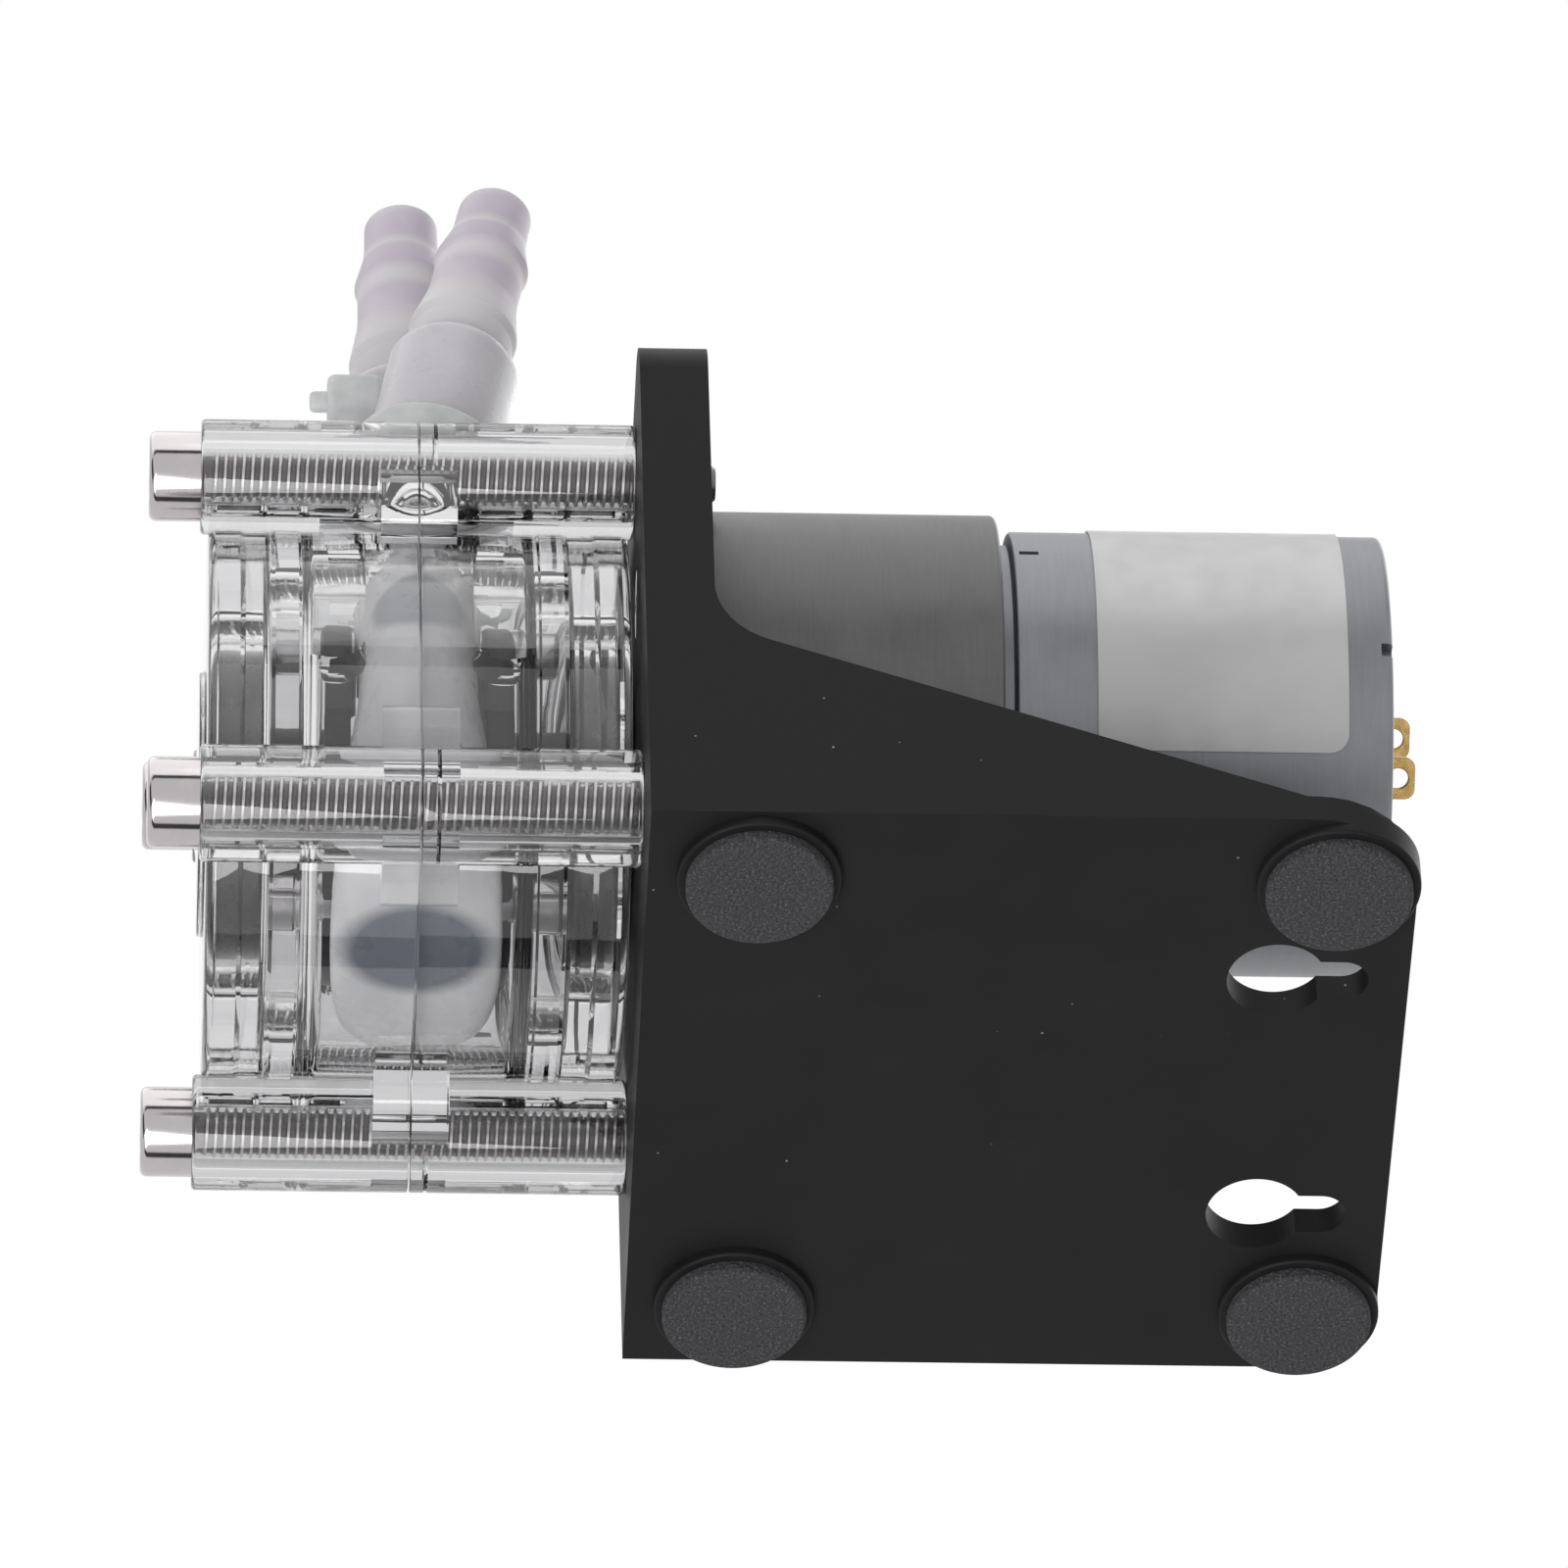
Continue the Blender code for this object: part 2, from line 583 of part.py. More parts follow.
BODY_FRONT_Y = HEAD_FRONT_Y + BODY_END_STEP
BODY_REAR_Y = PLATE_Y - BODY_END_STEP
head_additions = [
    cylinder(
        f"head_boss_{corner}",
        None,
        BOSS_RADIUS,
        HEAD_FRONT_Y,
        PLATE_Y - FIXED_CLEARANCE,
        x,
        AXIS_Z + z,
        steps=SMALL_FACETS,
    )
    for corner, x, z in CORNERS
]
head_additions.append(
    cylinder(
        "head_centre_disc",
        None,
        CENTRE_DISC_RADIUS,
        BODY_FRONT_Y - CENTRE_DISC_HEIGHT,
        BODY_REAR_Y + CENTRE_DISC_HEIGHT,
        steps=MEDIUM_FACETS,
    )
)
head_additions.append(
    box(
        "head_outlet_block",
        None,
        (
            -OUTLET_BLOCK_WIDTH / 2,
            SEAM_Y - OUTLET_BLOCK_DEPTH / 2,
            AXIS_Z + OUTLET_BLOCK_TOP - OUTLET_BLOCK_HEIGHT,
        ),
        (OUTLET_BLOCK_WIDTH / 2, SEAM_Y + OUTLET_BLOCK_DEPTH / 2, AXIS_Z + OUTLET_BLOCK_TOP),
    )
)
rear_side = box(
    "rear_side",
    None,
    (-BRACKET_WIDTH, SEAM_Y - SEAM_GAP / 2, AXIS_Z - BRACKET_WIDTH),
    (BRACKET_WIDTH, SEAM_Y + HEAD_LENGTH, AXIS_Z + BRACKET_WIDTH),
)
front_side = box(
    "front_side",
    None,
    (-BRACKET_WIDTH, SEAM_Y - HEAD_LENGTH, AXIS_Z - BRACKET_WIDTH),
    (BRACKET_WIDTH, SEAM_Y + SEAM_GAP / 2, AXIS_Z + BRACKET_WIDTH),
)


def head_half(name, far_side):
    """The whole head with its hollows, less the far side of the seam."""
    half = cylinder(name, CLEAR, BODY_RADIUS, BODY_FRONT_Y, BODY_REAR_Y)
    for addition in head_additions:
        combine(half, addition, "UNION")
    for cut in (raceway, rotor_cavity, recess, pockets, shaft_way, *tube_holes, *screw_cuts, far_side):
        combine(half, cut)
    return half


head_half("head_front_half", rear_side)
head_half("head_rear_half", front_side)

# Rotor bearings in their pockets.
for hand, towards in (("front", -1.0), ("rear", 1.0)):
    middle = SEAM_Y + towards * (POCKET_HALF - FIXED_CLEARANCE - BEARING_WIDTH / 2)
    half_width = BEARING_WIDTH / 2
    lathe(
        f"rotor_bearing_{hand}",
        STEEL,
        (
            (BEARING_BORE_RADIUS, half_width),
            (BEARING_OUTER_RADIUS, half_width),
            (BEARING_OUTER_RADIUS, -half_width),
            (BEARING_BORE_RADIUS, -half_width),
        ),
        (0.0, middle, AXIS_Z),
        steps=MEDIUM_FACETS,
        closed=True,
    )

# Rotor: carrier with hub and rear journal, front plate with front journal, axles and rollers.
rotor_carrier = lathe(
    "rotor_carrier",
    BLACK_PLASTIC,
    (
        (0.0, JOURNAL_HALF),
        (JOURNAL_RADIUS, JOURNAL_HALF),
        (JOURNAL_RADIUS, ROTOR_OUTER_HALF),
        (ROTOR_PLATE_RADIUS, ROTOR_OUTER_HALF),
        (ROTOR_PLATE_RADIUS, ROTOR_INNER_HALF),
        (HUB_RADIUS, ROTOR_INNER_HALF),
        (HUB_RADIUS, -ROTOR_INNER_HALF + FIXED_CLEARANCE),
        (0.0, -ROTOR_INNER_HALF + FIXED_CLEARANCE),
    ),
    head_axis,
    steps=MEDIUM_FACETS,
)
rotor_front_plate = lathe(
    "rotor_front_plate",
    BLACK_PLASTIC,
    (
        (0.0, -ROTOR_INNER_HALF),
        (ROTOR_PLATE_RADIUS, -ROTOR_INNER_HALF),
        (ROTOR_PLATE_RADIUS, -ROTOR_OUTER_HALF),
        (JOURNAL_RADIUS, -ROTOR_OUTER_HALF),
        (JOURNAL_RADIUS, -JOURNAL_HALF),
        (0.0, -JOURNAL_HALF),
    ),
    head_axis,
    steps=MEDIUM_FACETS,
)
roller_centres = []
for k in range(ROLLER_COUNT):
    angle = ROLLER_START + k * 2 * math.pi / ROLLER_COUNT
    centre = ROLLER_PITCH_RADIUS * Vector((math.cos(angle), 0.0, math.sin(angle)))
    roller_centres.append(centre)
    x = centre.x
    z = AXIS_Z + centre.z
    axle_hole = cylinder(
        f"axle_hole_{k + 1}",
        None,
        AXLE_RADIUS + FIXED_CLEARANCE,
        SEAM_Y - HALF_HEAD,
        SEAM_Y + HALF_HEAD,
        x,
        z,
        steps=SMALL_FACETS,
    )
    combine(rotor_carrier, axle_hole)
    combine(rotor_front_plate, axle_hole)
    axle_front = SEAM_Y - AXLE_LENGTH / 2
    axle_name = f"roller_axle_{k + 1}"
    axle_rear = axle_front + AXLE_LENGTH
    cylinder(axle_name, PLATED, AXLE_RADIUS, axle_front, axle_rear, x, z, SMALL_FACETS)
    roller_bore = AXLE_RADIUS + RUNNING_CLEARANCE
    lathe(
        f"roller_{k + 1}",
        NYLON,
        (
            (roller_bore, ROLLER_WIDTH / 2),
            (ROLLER_RADIUS, ROLLER_WIDTH / 2),
            (ROLLER_RADIUS, -ROLLER_WIDTH / 2),
            (roller_bore, -ROLLER_WIDTH / 2),
        ),
        (x, SEAM_Y, z),
        steps=SMALL_FACETS,
        closed=True,
    )

# Output shaft with its D flat, keyed into the rotor carrier.
SHAFT_END_Y = SEAM_Y + JOURNAL_HALF - SHAFT_IN_ROTOR
shaft_root_y = PLATE_REAR_Y + NECK_LENGTH
output_shaft = cylinder("output_shaft", PLATED, SHAFT_RADIUS, SHAFT_END_Y, shaft_root_y, steps=SMALL_FACETS)
shaft_flat = box(
    "shaft_flat",
    None,
    (SHAFT_FLAT, SHAFT_END_Y - SHAFT_RADIUS, AXIS_Z - 2 * SHAFT_RADIUS),
    (3 * SHAFT_RADIUS, PLATE_Y - BODY_END_STEP, AXIS_Z + 2 * SHAFT_RADIUS),
)
combine(output_shaft, shaft_flat)
rotor_bore = cylinder(
    "rotor_bore",
    None,
    SHAFT_RADIUS + SHAFT_CLEARANCE,
    SHAFT_END_Y - SHAFT_CLEARANCE,
    PLATE_Y + PLATE_THICKNESS,
    steps=SMALL_FACETS,
)
bore_flat = box(
    "bore_flat",
    None,
    (SHAFT_FLAT + SHAFT_CLEARANCE, SHAFT_END_Y - SHAFT_RADIUS, AXIS_Z - 2 * SHAFT_RADIUS),
    (3 * SHAFT_RADIUS, PLATE_REAR_Y + PLATE_THICKNESS, AXIS_Z + 2 * SHAFT_RADIUS),
)
combine(rotor_bore, bore_flat)
combine(rotor_carrier, rotor_bore)

# Gearbox with its neck in the plate, and the screws that hold it.
gearbox = lathe(
    "gearbox_housing",
    ZINC,
    (
        (0.0, GEARBOX_LENGTH - FIXED_CLEARANCE),
        (GEARBOX_RADIUS - GEARBOX_EDGE_ROUND, GEARBOX_LENGTH - FIXED_CLEARANCE),
        (GEARBOX_RADIUS, GEARBOX_LENGTH - FIXED_CLEARANCE - GEARBOX_EDGE_ROUND),
        (GEARBOX_RADIUS, CHANNEL_STEP + FIXED_CLEARANCE),
        (0.0, CHANNEL_STEP + FIXED_CLEARANCE),
    ),
    (0.0, PLATE_REAR_Y, MOTOR_AXIS_Z),
)
neck = cylinder("gearbox_neck", None, NECK_RADIUS, PLATE_REAR_Y - NECK_LENGTH, PLATE_REAR_Y + NECK_LENGTH)
combine(gearbox, neck, "UNION")
shaft_bore = cylinder(
    "shaft_bore",
    None,
    SHAFT_RADIUS + RUNNING_CLEARANCE,
    PLATE_REAR_Y - 2 * NECK_LENGTH,
    PLATE_REAR_Y + NECK_LENGTH + RUNNING_CLEARANCE,
    steps=SMALL_FACETS,
)
combine(gearbox, shaft_bore)
head_depth = MOUNT_SCREW_HEAD_RADIUS - MOUNT_SCREW_RADIUS
for k, place in enumerate(MOUNT_SCREW_PLACES):
    angle = place * MOUNT_SCREW_PITCH
    x = MOUNT_SCREW_CIRCLE * math.cos(angle)
    z = MOTOR_AXIS_Z + MOUNT_SCREW_CIRCLE * math.sin(angle)
    lathe(
        f"motor_screw_{k + 1}",
        PLATED,
        (
            (0.0, MOUNT_SCREW_LENGTH),
            (MOUNT_SCREW_RADIUS, MOUNT_SCREW_LENGTH),
            (MOUNT_SCREW_RADIUS, head_depth),
            (MOUNT_SCREW_HEAD_RADIUS, 0.0),
            (0.0, 0.0),
        ),
        (x, PLATE_Y, z),
        steps=SMALL_FACETS,
    )
    way = lathe(
        f"motor_screw_hole_{k + 1}",
        None,
        (
            (0.0, MOUNT_SCREW_LENGTH + MOUNT_SCREW_CLEARANCE),
            (MOUNT_SCREW_RADIUS + MOUNT_SCREW_CLEARANCE, MOUNT_SCREW_LENGTH + MOUNT_SCREW_CLEARANCE),
            (MOUNT_SCREW_RADIUS + MOUNT_SCREW_CLEARANCE, head_depth + MOUNT_SCREW_CLEARANCE),
            (MOUNT_SCREW_HEAD_RADIUS + 2 * MOUNT_SCREW_CLEARANCE, 0.0),
            (MOUNT_SCREW_HEAD_RADIUS + 2 * MOUNT_SCREW_CLEARANCE, -MOUNT_SCREW_HEAD_RADIUS),
            (0.0, -MOUNT_SCREW_HEAD_RADIUS),
        ),
        (x, PLATE_Y, z),
        steps=SMALL_FACETS,
    )
    combine(bracket, way)
    combine(gearbox, way)

# Motor can, end cap with rear boss, terminals and the blank label.
cap_seat = END_CAP_THICKNESS + END_CAP_CLEARANCE
lathe(
    "motor_can",
    CAN,
    (
        (0.0, MOTOR_LENGTH - cap_seat),
        (END_CAP_RADIUS + END_CAP_CLEARANCE, MOTOR_LENGTH - cap_seat),
        (END_CAP_RADIUS + END_CAP_CLEARANCE, MOTOR_LENGTH),
        (MOTOR_RADIUS - MOTOR_EDGE_ROUND, MOTOR_LENGTH),
        (MOTOR_RADIUS, MOTOR_LENGTH - MOTOR_EDGE_ROUND),
        (MOTOR_RADIUS, MOTOR_GROOVE_WIDTH),
        (MOTOR_GROOVE_RADIUS, MOTOR_GROOVE_WIDTH),
        (MOTOR_GROOVE_RADIUS, 0.0),
        (0.0, 0.0),
    ),
    (0.0, MOTOR_Y, MOTOR_AXIS_Z),
)
end_cap = lathe(
    "motor_end_cap",
    CAN,
    (
        (0.0, REAR_BOSS_HEIGHT),
        (REAR_BOSS_RADIUS, REAR_BOSS_HEIGHT),
        (REAR_BOSS_RADIUS, 0.0),
        (END_CAP_RADIUS, 0.0),
        (END_CAP_RADIUS, -END_CAP_THICKNESS),
        (0.0, -END_CAP_THICKNESS),
    ),
    (0.0, MOTOR_END_Y, MOTOR_AXIS_Z),
)
for name, turn, reach in (
    ("terminal_positive", TERMINAL_ANGLE, TERMINAL_REACH),
    ("terminal_negative", TERMINAL_ANGLE + math.pi, TERMINAL_LONG_REACH),
):
    half_tab = TERMINAL_WIDTH / 2
    tab = rounded(
        (
            (-half_tab, FIXED_CLEARANCE, 0.0),
            (half_tab, FIXED_CLEARANCE, 0.0),
            (half_tab, reach, TERMINAL_CORNER_RADIUS),
            (-half_tab, reach, TERMINAL_CORNER_RADIUS),
        ),
        steps=4,
    )
    terminal = outline(name, BRASS, tab, TERMINAL_THICKNESS)
    hole = cylinder(
        f"{name}_hole",
        None,
        TERMINAL_HOLE_RADIUS,
        -TERMINAL_WIDTH,
        TERMINAL_WIDTH,
        steps=SMALL_FACETS,
    )
    upright = Matrix(((0, 0, 1, 0), (0, 1, 0, 0), (-1, 0, 0, 0), (0, 0, 0, 1)))
    place = Matrix.Translation((0.0, MOTOR_END_Y, MOTOR_AXIS_Z)) @ Matrix.Rotation(-turn, 4, "Y")
    terminal.matrix_world = place @ Matrix.Translation((TERMINAL_CIRCLE, 0.0, 0.0)) @ upright
    quarter = Matrix.Rotation(math.pi / 2, 4, "Z")
    across = Matrix.Translation((TERMINAL_CIRCLE, reach - TERMINAL_HOLE_FROM_TIP, 0.0)) @ quarter
    hole.matrix_world = place @ across
    combine(terminal, hole)

label_inner = MOTOR_RADIUS + LABEL_GAP
label_outer = label_inner + LABEL_THICKNESS
label_profile = bmesh.new()
label_points = [
    label_profile.verts.new((radius, 0.0, along))
    for radius, along in (
        (label_inner, LABEL_START + LABEL_LENGTH),
        (label_outer, LABEL_START + LABEL_LENGTH),
        (label_outer, LABEL_START),
        (label_inner, LABEL_START),
    )
]
label_profile.faces.new(label_points)
LABEL_STEPS = 34
bmesh.ops.spin(
    label_profile,
    geom=label_profile.faces[:],
    cent=(0.0, 0.0, 0.0),
    axis=(0.0, 0.0, 1.0),
    angle=LABEL_SWEEP,
    steps=LABEL_STEPS,
)
bmesh.ops.recalc_face_normals(label_profile, faces=label_profile.faces)
label_mesh = bpy.data.meshes.new("motor_label")
label_profile.to_mesh(label_mesh)
label_profile.free()
label = add("motor_label", label_mesh, PAPER)
lay = Matrix.Rotation(-math.pi / 2, 4, "X")
label_place = Matrix.Translation((0.0, MOTOR_Y, MOTOR_AXIS_Z)) @ Matrix.Rotation(-LABEL_FIRST_ANGLE, 4, "Y")
label.matrix_world = label_place @ lay @ Matrix.Rotation(-LABEL_SWEEP, 4, "Z")


# Pump tube: its middle line, then a loft of sections that go from round to pressed by the rollers.
STRAIGHT_STEPS = 4
BEND_STEPS = 4
LINE_STEPS = 8
ARC_STEPS = 34
SECTION_POINTS = 12


def knee(corner, line, end):
    """Points from the end of the tube down to the straight part that leaves the raceway."""
    straight = (end - corner).normalized()
    start = corner + straight * TUBE_KNEE_LENGTH
    finish = corner - line * TUBE_KNEE_LENGTH
    points = []
    for k in range(STRAIGHT_STEPS):
        points.append(end.lerp(start, k / STRAIGHT_STEPS))
    for k in range(BEND_STEPS + 1):
        t = k / BEND_STEPS
        points.append(start * (1 - t) ** 2 + corner * 2 * t * (1 - t) + finish * t**2)
    return points


right_knee = right_leave + right_line * ((TUBE_KNEE_Z - right_leave.z) / right_line.z)
left_knee = left_leave + left_line * ((TUBE_KNEE_Z - left_leave.z) / left_line.z)
middle_line = knee(right_knee, right_line, RIGHT_END)
right_straight = middle_line[-1]
for k in range(1, LINE_STEPS):
    middle_line.append(right_straight.lerp(right_leave, k / LINE_STEPS))
right_index = len(middle_line)
for k in range(ARC_STEPS + 1):
    angle = TUBE_LEAVE - k * (math.pi + 2 * TUBE_LEAVE) / ARC_STEPS
    middle_line.append(TUBE_ARC_RADIUS * Vector((math.cos(angle), 0.0, math.sin(angle))))
left_index = len(middle_line) - 1
left_part = knee(left_knee, left_line, LEFT_END)
for k in range(LINE_STEPS - 1, 0, -1):
    middle_line.append(left_part[-1].lerp(left_leave, k / LINE_STEPS))
middle_line.extend(reversed(left_part))
along = [0.0]
for first, second in zip(middle_line, middle_line[1:]):
    along.append(along[-1] + (second - first).length)

# Where each roller meets the tube: how far along its middle line, how deep it pushes the inner side,
# and whether the tube can spread sideways there. The raceway leaves room for that, the ways out do not.
right_roller, left_roller, low_roller = roller_centres
press = ROLLER_RADIUS + TUBE_PRESS_CLEARANCE
low_angle = TUBE_LEAVE - math.atan2(low_roller.z, low_roller.x)
right_out = right_leave.normalized()
left_out = left_leave.normalized()
presses = (
    (
        along[right_index] - (right_roller - right_leave).dot(right_line),
        (right_roller - right_leave).dot(right_out) + press,
        False,
    ),
    (
        along[left_index] + (left_roller - left_leave).dot(left_line),
        (left_roller - left_leave).dot(left_out) + press,
        False,
    ),
    (
        along[right_index] + low_angle * TUBE_ARC_RADIUS,
        ROLLER_PITCH_RADIUS + press - TUBE_ARC_RADIUS,
        True,
    ),
)


def power(value, exponent):
    """A power that keeps the sign."""
    return math.copysign(abs(value) ** exponent, value)


def section(level, spread):
    """Points (towards the raceway, sideways) of the tube with its inner side pushed to a level."""
    half_width = TUBE_OUTER_RADIUS + (TUBE_PRESSED_WIDTH / 2 - TUBE_OUTER_RADIUS) * spread
    half_depth = (TUBE_OUTER_RADIUS - level) / 2
    cut = math.acos(max(-1.0, level / TUBE_OUTER_RADIUS))
    points = []
    for k in range(SECTION_POINTS):
        turn = (2 * k / SECTION_POINTS - 1) * math.pi
        if spread > 0:
            out = level + half_depth + half_depth * power(math.cos(turn), 1 - spread / 2)
            side = half_width * power(math.sin(turn), 1 - spread / 2)
        elif abs(turn) <= cut:
            out = TUBE_OUTER_RADIUS * math.cos(turn)
            side = TUBE_OUTER_RADIUS * math.sin(turn)
        else:
            left_over = (math.pi - abs(turn)) / (math.pi - cut)
            out = level
            side = math.copysign(TUBE_OUTER_RADIUS * math.sin(cut) * left_over, turn)
        points.append((out, side))
    return points


tube_loft = bmesh.new()
skins = ([], [])
for i, place in enumerate(middle_line):
    ahead = middle_line[min(i + 1, len(middle_line) - 1)] - middle_line[max(i - 1, 0)]
    ahead.normalize()
    sideways = Vector((0.0, 1.0, 0.0))
    sideways = (sideways - ahead * sideways.dot(ahead)).normalized()
    outwards = ahead.cross(sideways)
    level = -TUBE_OUTER_RADIUS
    spread = 0.0
    for where, deepest, free in presses:
        near = max(0.0, 1 - ((along[i] - where) / TUBE_PRESS_REACH) ** 2) ** 2
        pushed = (deepest + TUBE_OUTER_RADIUS) * near - TUBE_OUTER_RADIUS
        if pushed > level:
            level = pushed
            spread = near if free else 0.0
    near_end = min(along[i], along[-1] - along[i])
    beyond = near_end - JOINER_INSERT_LENGTH - TUBE_STRETCH_TAPER / 2
    stretch = TUBE_END_STRETCH * max(0.0, min(1.0, 1 - beyond / TUBE_STRETCH_TAPER))
    grown = 1 + stretch / TUBE_OUTER_RADIUS
    middle = (TUBE_OUTER_RADIUS + level) / 2
    pressed = middle / TUBE_OUTER_RADIUS
    bore = 1 - TUBE_WALL / (TUBE_OUTER_RADIUS + stretch) - TUBE_BORE_LOSS * pressed
    for skin, share in zip(skins, (1.0, bore)):
        ring = []
        for out, side in section(level, spread):
            reach = (middle + (out - middle) * share) * grown
            ring.append(tube_loft.verts.new(place + outwards * reach + sideways * side * share * grown))
        skin.append(ring)
outer_skin, inner_skin = skins
strips = list(zip(outer_skin, outer_skin[1:])) + list(zip(inner_skin, inner_skin[1:]))
strips += [(outer_skin[0], inner_skin[0]), (outer_skin[-1], inner_skin[-1])]
for first, second in strips:
    for k in range(SECTION_POINTS):
        n = (k + 1) % SECTION_POINTS
        tube_loft.faces.new((first[k], first[n], second[n], second[k]))
bmesh.ops.recalc_face_normals(tube_loft, faces=tube_loft.faces)
tube_mesh = bpy.data.meshes.new("pump_tube")
tube_loft.to_mesh(tube_mesh)
tube_loft.free()
add("pump_tube", tube_mesh, SILICONE, head_axis)

# Barbed joiners in the tube ends, and the ties round the tube.
insert_radius = TUBE_OUTER_RADIUS + TUBE_END_STRETCH - TUBE_WALL - JOINER_INSERT_CLEARANCE
for hand, corner, end, tie_back, tie_spin in (
    ("right", right_knee, RIGHT_END, RIGHT_TIE_FROM_END, RIGHT_TIE_TURN),
    ("left", left_knee, LEFT_END, LEFT_TIE_FROM_END, LEFT_TIE_TURN),
):
    straight = (end - corner).normalized()
    root = JOINER_ROOT_LENGTH
    barb = root + JOINER_BARB_LENGTH
    tip = barb + JOINER_TIP_LENGTH
    joiner = lathe(
        f"tube_joiner_{hand}",
        JOINER_PLASTIC,
        (
            (JOINER_BORE_RADIUS, tip),
            (JOINER_TIP_RADIUS - JOINER_BARB_STEP, tip),
            (JOINER_TIP_RADIUS, tip - JOINER_BARB_STEP * 3),
            (JOINER_BARB_RADIUS, barb + JOINER_BARB_STEP * 2),
            (JOINER_BARB_RADIUS - JOINER_BARB_STEP, barb),
            (JOINER_ROOT_BARB_RADIUS, root + JOINER_BARB_STEP * 2),
            (JOINER_ROOT_BARB_RADIUS - JOINER_BARB_STEP, root),
            (JOINER_ROOT_BARB_RADIUS - JOINER_BARB_STEP, FIXED_CLEARANCE),
            (insert_radius, FIXED_CLEARANCE),
            (insert_radius, JOINER_INSERT_TAPER - JOINER_INSERT_LENGTH),
            (JOINER_TIP_RADIUS, -JOINER_INSERT_LENGTH),
            (JOINER_BORE_RADIUS, -JOINER_INSERT_LENGTH),
        ),
        head_axis + end,
        steps=SMALL_FACETS,
        closed=True,
    )
    turn = Vector((0.0, 0.0, 1.0)).rotation_difference(straight).to_matrix()
    joiner.rotation_euler = turn.to_euler()

    tie_radius = TUBE_OUTER_RADIUS + TUBE_END_STRETCH + FIXED_CLEARANCE
    tie = lathe(
        f"cable_tie_{hand}",
        NYLON,
        (
            (tie_radius, -tie_back),
            (tie_radius + TIE_THICKNESS, -tie_back),
            (tie_radius + TIE_THICKNESS, -tie_back - TIE_WIDTH),
            (tie_radius, -tie_back - TIE_WIDTH),
        ),
        head_axis + end,
        steps=MEDIUM_FACETS,
        closed=True,
    )
    tie_turn = turn @ Matrix.Rotation(tie_spin, 3, "Z")
    tie.rotation_euler = tie_turn.to_euler()
    frame = Matrix.Translation(head_axis + end) @ tie_turn.to_4x4()
    mid = -tie_back - TIE_WIDTH / 2
    head_high = TIE_THICKNESS / 3 - tie_radius
    head_low = head_high - TIE_HEAD_LENGTH
    head_side = -TIE_HEAD_OFFSET - TIE_HEAD_WIDTH / 2
    tie_head = box(
        f"tie_head_{hand}",
        None,
        (head_side, head_low, mid - TIE_WIDTH / 2),
        (head_side + TIE_HEAD_WIDTH, head_high, mid + TIE_WIDTH / 2),
    )
    tie_head.matrix_world = frame @ Matrix.Translation(tie_head.location)
    combine(tie, tie_head, "UNION")
    strap_low = head_low + (TIE_HEAD_LENGTH - TIE_THICKNESS) / 2
    tail = box(
        f"tie_tail_{hand}",
        None,
        (head_side - TIE_TAIL_LENGTH, strap_low, mid - TIE_WIDTH / 4),
        (head_side + TIE_TAIL_LENGTH, strap_low + TIE_THICKNESS, mid + TIE_WIDTH / 4),
    )
    tail.matrix_world = frame @ Matrix.Translation(tail.location)
    combine(tie, tail, "UNION")

bpy.context.view_layer.update()
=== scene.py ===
# %% [markdown]
# # A peristaltic pump
# A motor turns a rotor in a clear head, and the rotor's rollers press a soft tube against a round wall.
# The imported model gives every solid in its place. This lesson dresses those solids: each one is either
# kept with a better finish or replaced by a finer piece that rides on the same body.

# %% Load the frame
import math

import bmesh
import bpy
from mathutils import Matrix, Vector


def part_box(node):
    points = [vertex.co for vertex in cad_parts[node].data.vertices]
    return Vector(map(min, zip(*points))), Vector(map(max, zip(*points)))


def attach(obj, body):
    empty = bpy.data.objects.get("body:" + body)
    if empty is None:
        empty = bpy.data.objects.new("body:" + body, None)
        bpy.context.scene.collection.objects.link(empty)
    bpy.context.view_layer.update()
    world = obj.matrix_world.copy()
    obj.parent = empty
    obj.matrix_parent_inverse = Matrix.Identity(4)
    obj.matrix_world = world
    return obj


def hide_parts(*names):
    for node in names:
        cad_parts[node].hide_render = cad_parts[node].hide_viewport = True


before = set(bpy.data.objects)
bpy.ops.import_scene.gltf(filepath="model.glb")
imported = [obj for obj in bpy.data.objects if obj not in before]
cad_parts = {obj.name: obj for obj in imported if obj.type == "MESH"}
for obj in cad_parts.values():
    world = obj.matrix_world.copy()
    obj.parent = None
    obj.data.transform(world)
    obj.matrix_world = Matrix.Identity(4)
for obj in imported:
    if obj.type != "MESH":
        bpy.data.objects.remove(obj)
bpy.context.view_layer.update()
scene = bpy.context.scene
scene.view_settings.view_transform = "Standard"

# %% [markdown]
# ## The camera
# The photograph was taken from far away with a long lens, from in front of the right side and below, so
# the pump shows its feet. The camera's three directions and its place were worked out from the
# bracket's corners, so that the drawing and the photograph lie over each other.

# %% Place the camera
CAMERA_PLACE = Vector((0.865586, -0.058887, -0.843033))
CAMERA_RIGHT = Vector((0.0434341, 0.99876454, -0.02414285))
CAMERA_UP = Vector((0.71178423, -0.01397844, 0.70225908))
CAMERA_LENS = 363.7

lens = bpy.data.cameras.new("photo_camera")
lens.sensor_width = 36.0
lens.lens = CAMERA_LENS
lens.clip_start = 0.05
lens.clip_end = 20.0
camera = bpy.data.objects.new("photo_camera", lens)
scene.collection.objects.link(camera)
turn = Matrix((CAMERA_RIGHT, CAMERA_UP, CAMERA_RIGHT.cross(CAMERA_UP))).transposed()
camera.matrix_world = Matrix.Translation(CAMERA_PLACE) @ turn.to_4x4()
scene.camera = camera
print("camera:", round(CAMERA_PLACE.length, 3), "m from the middle of the pump's feet")

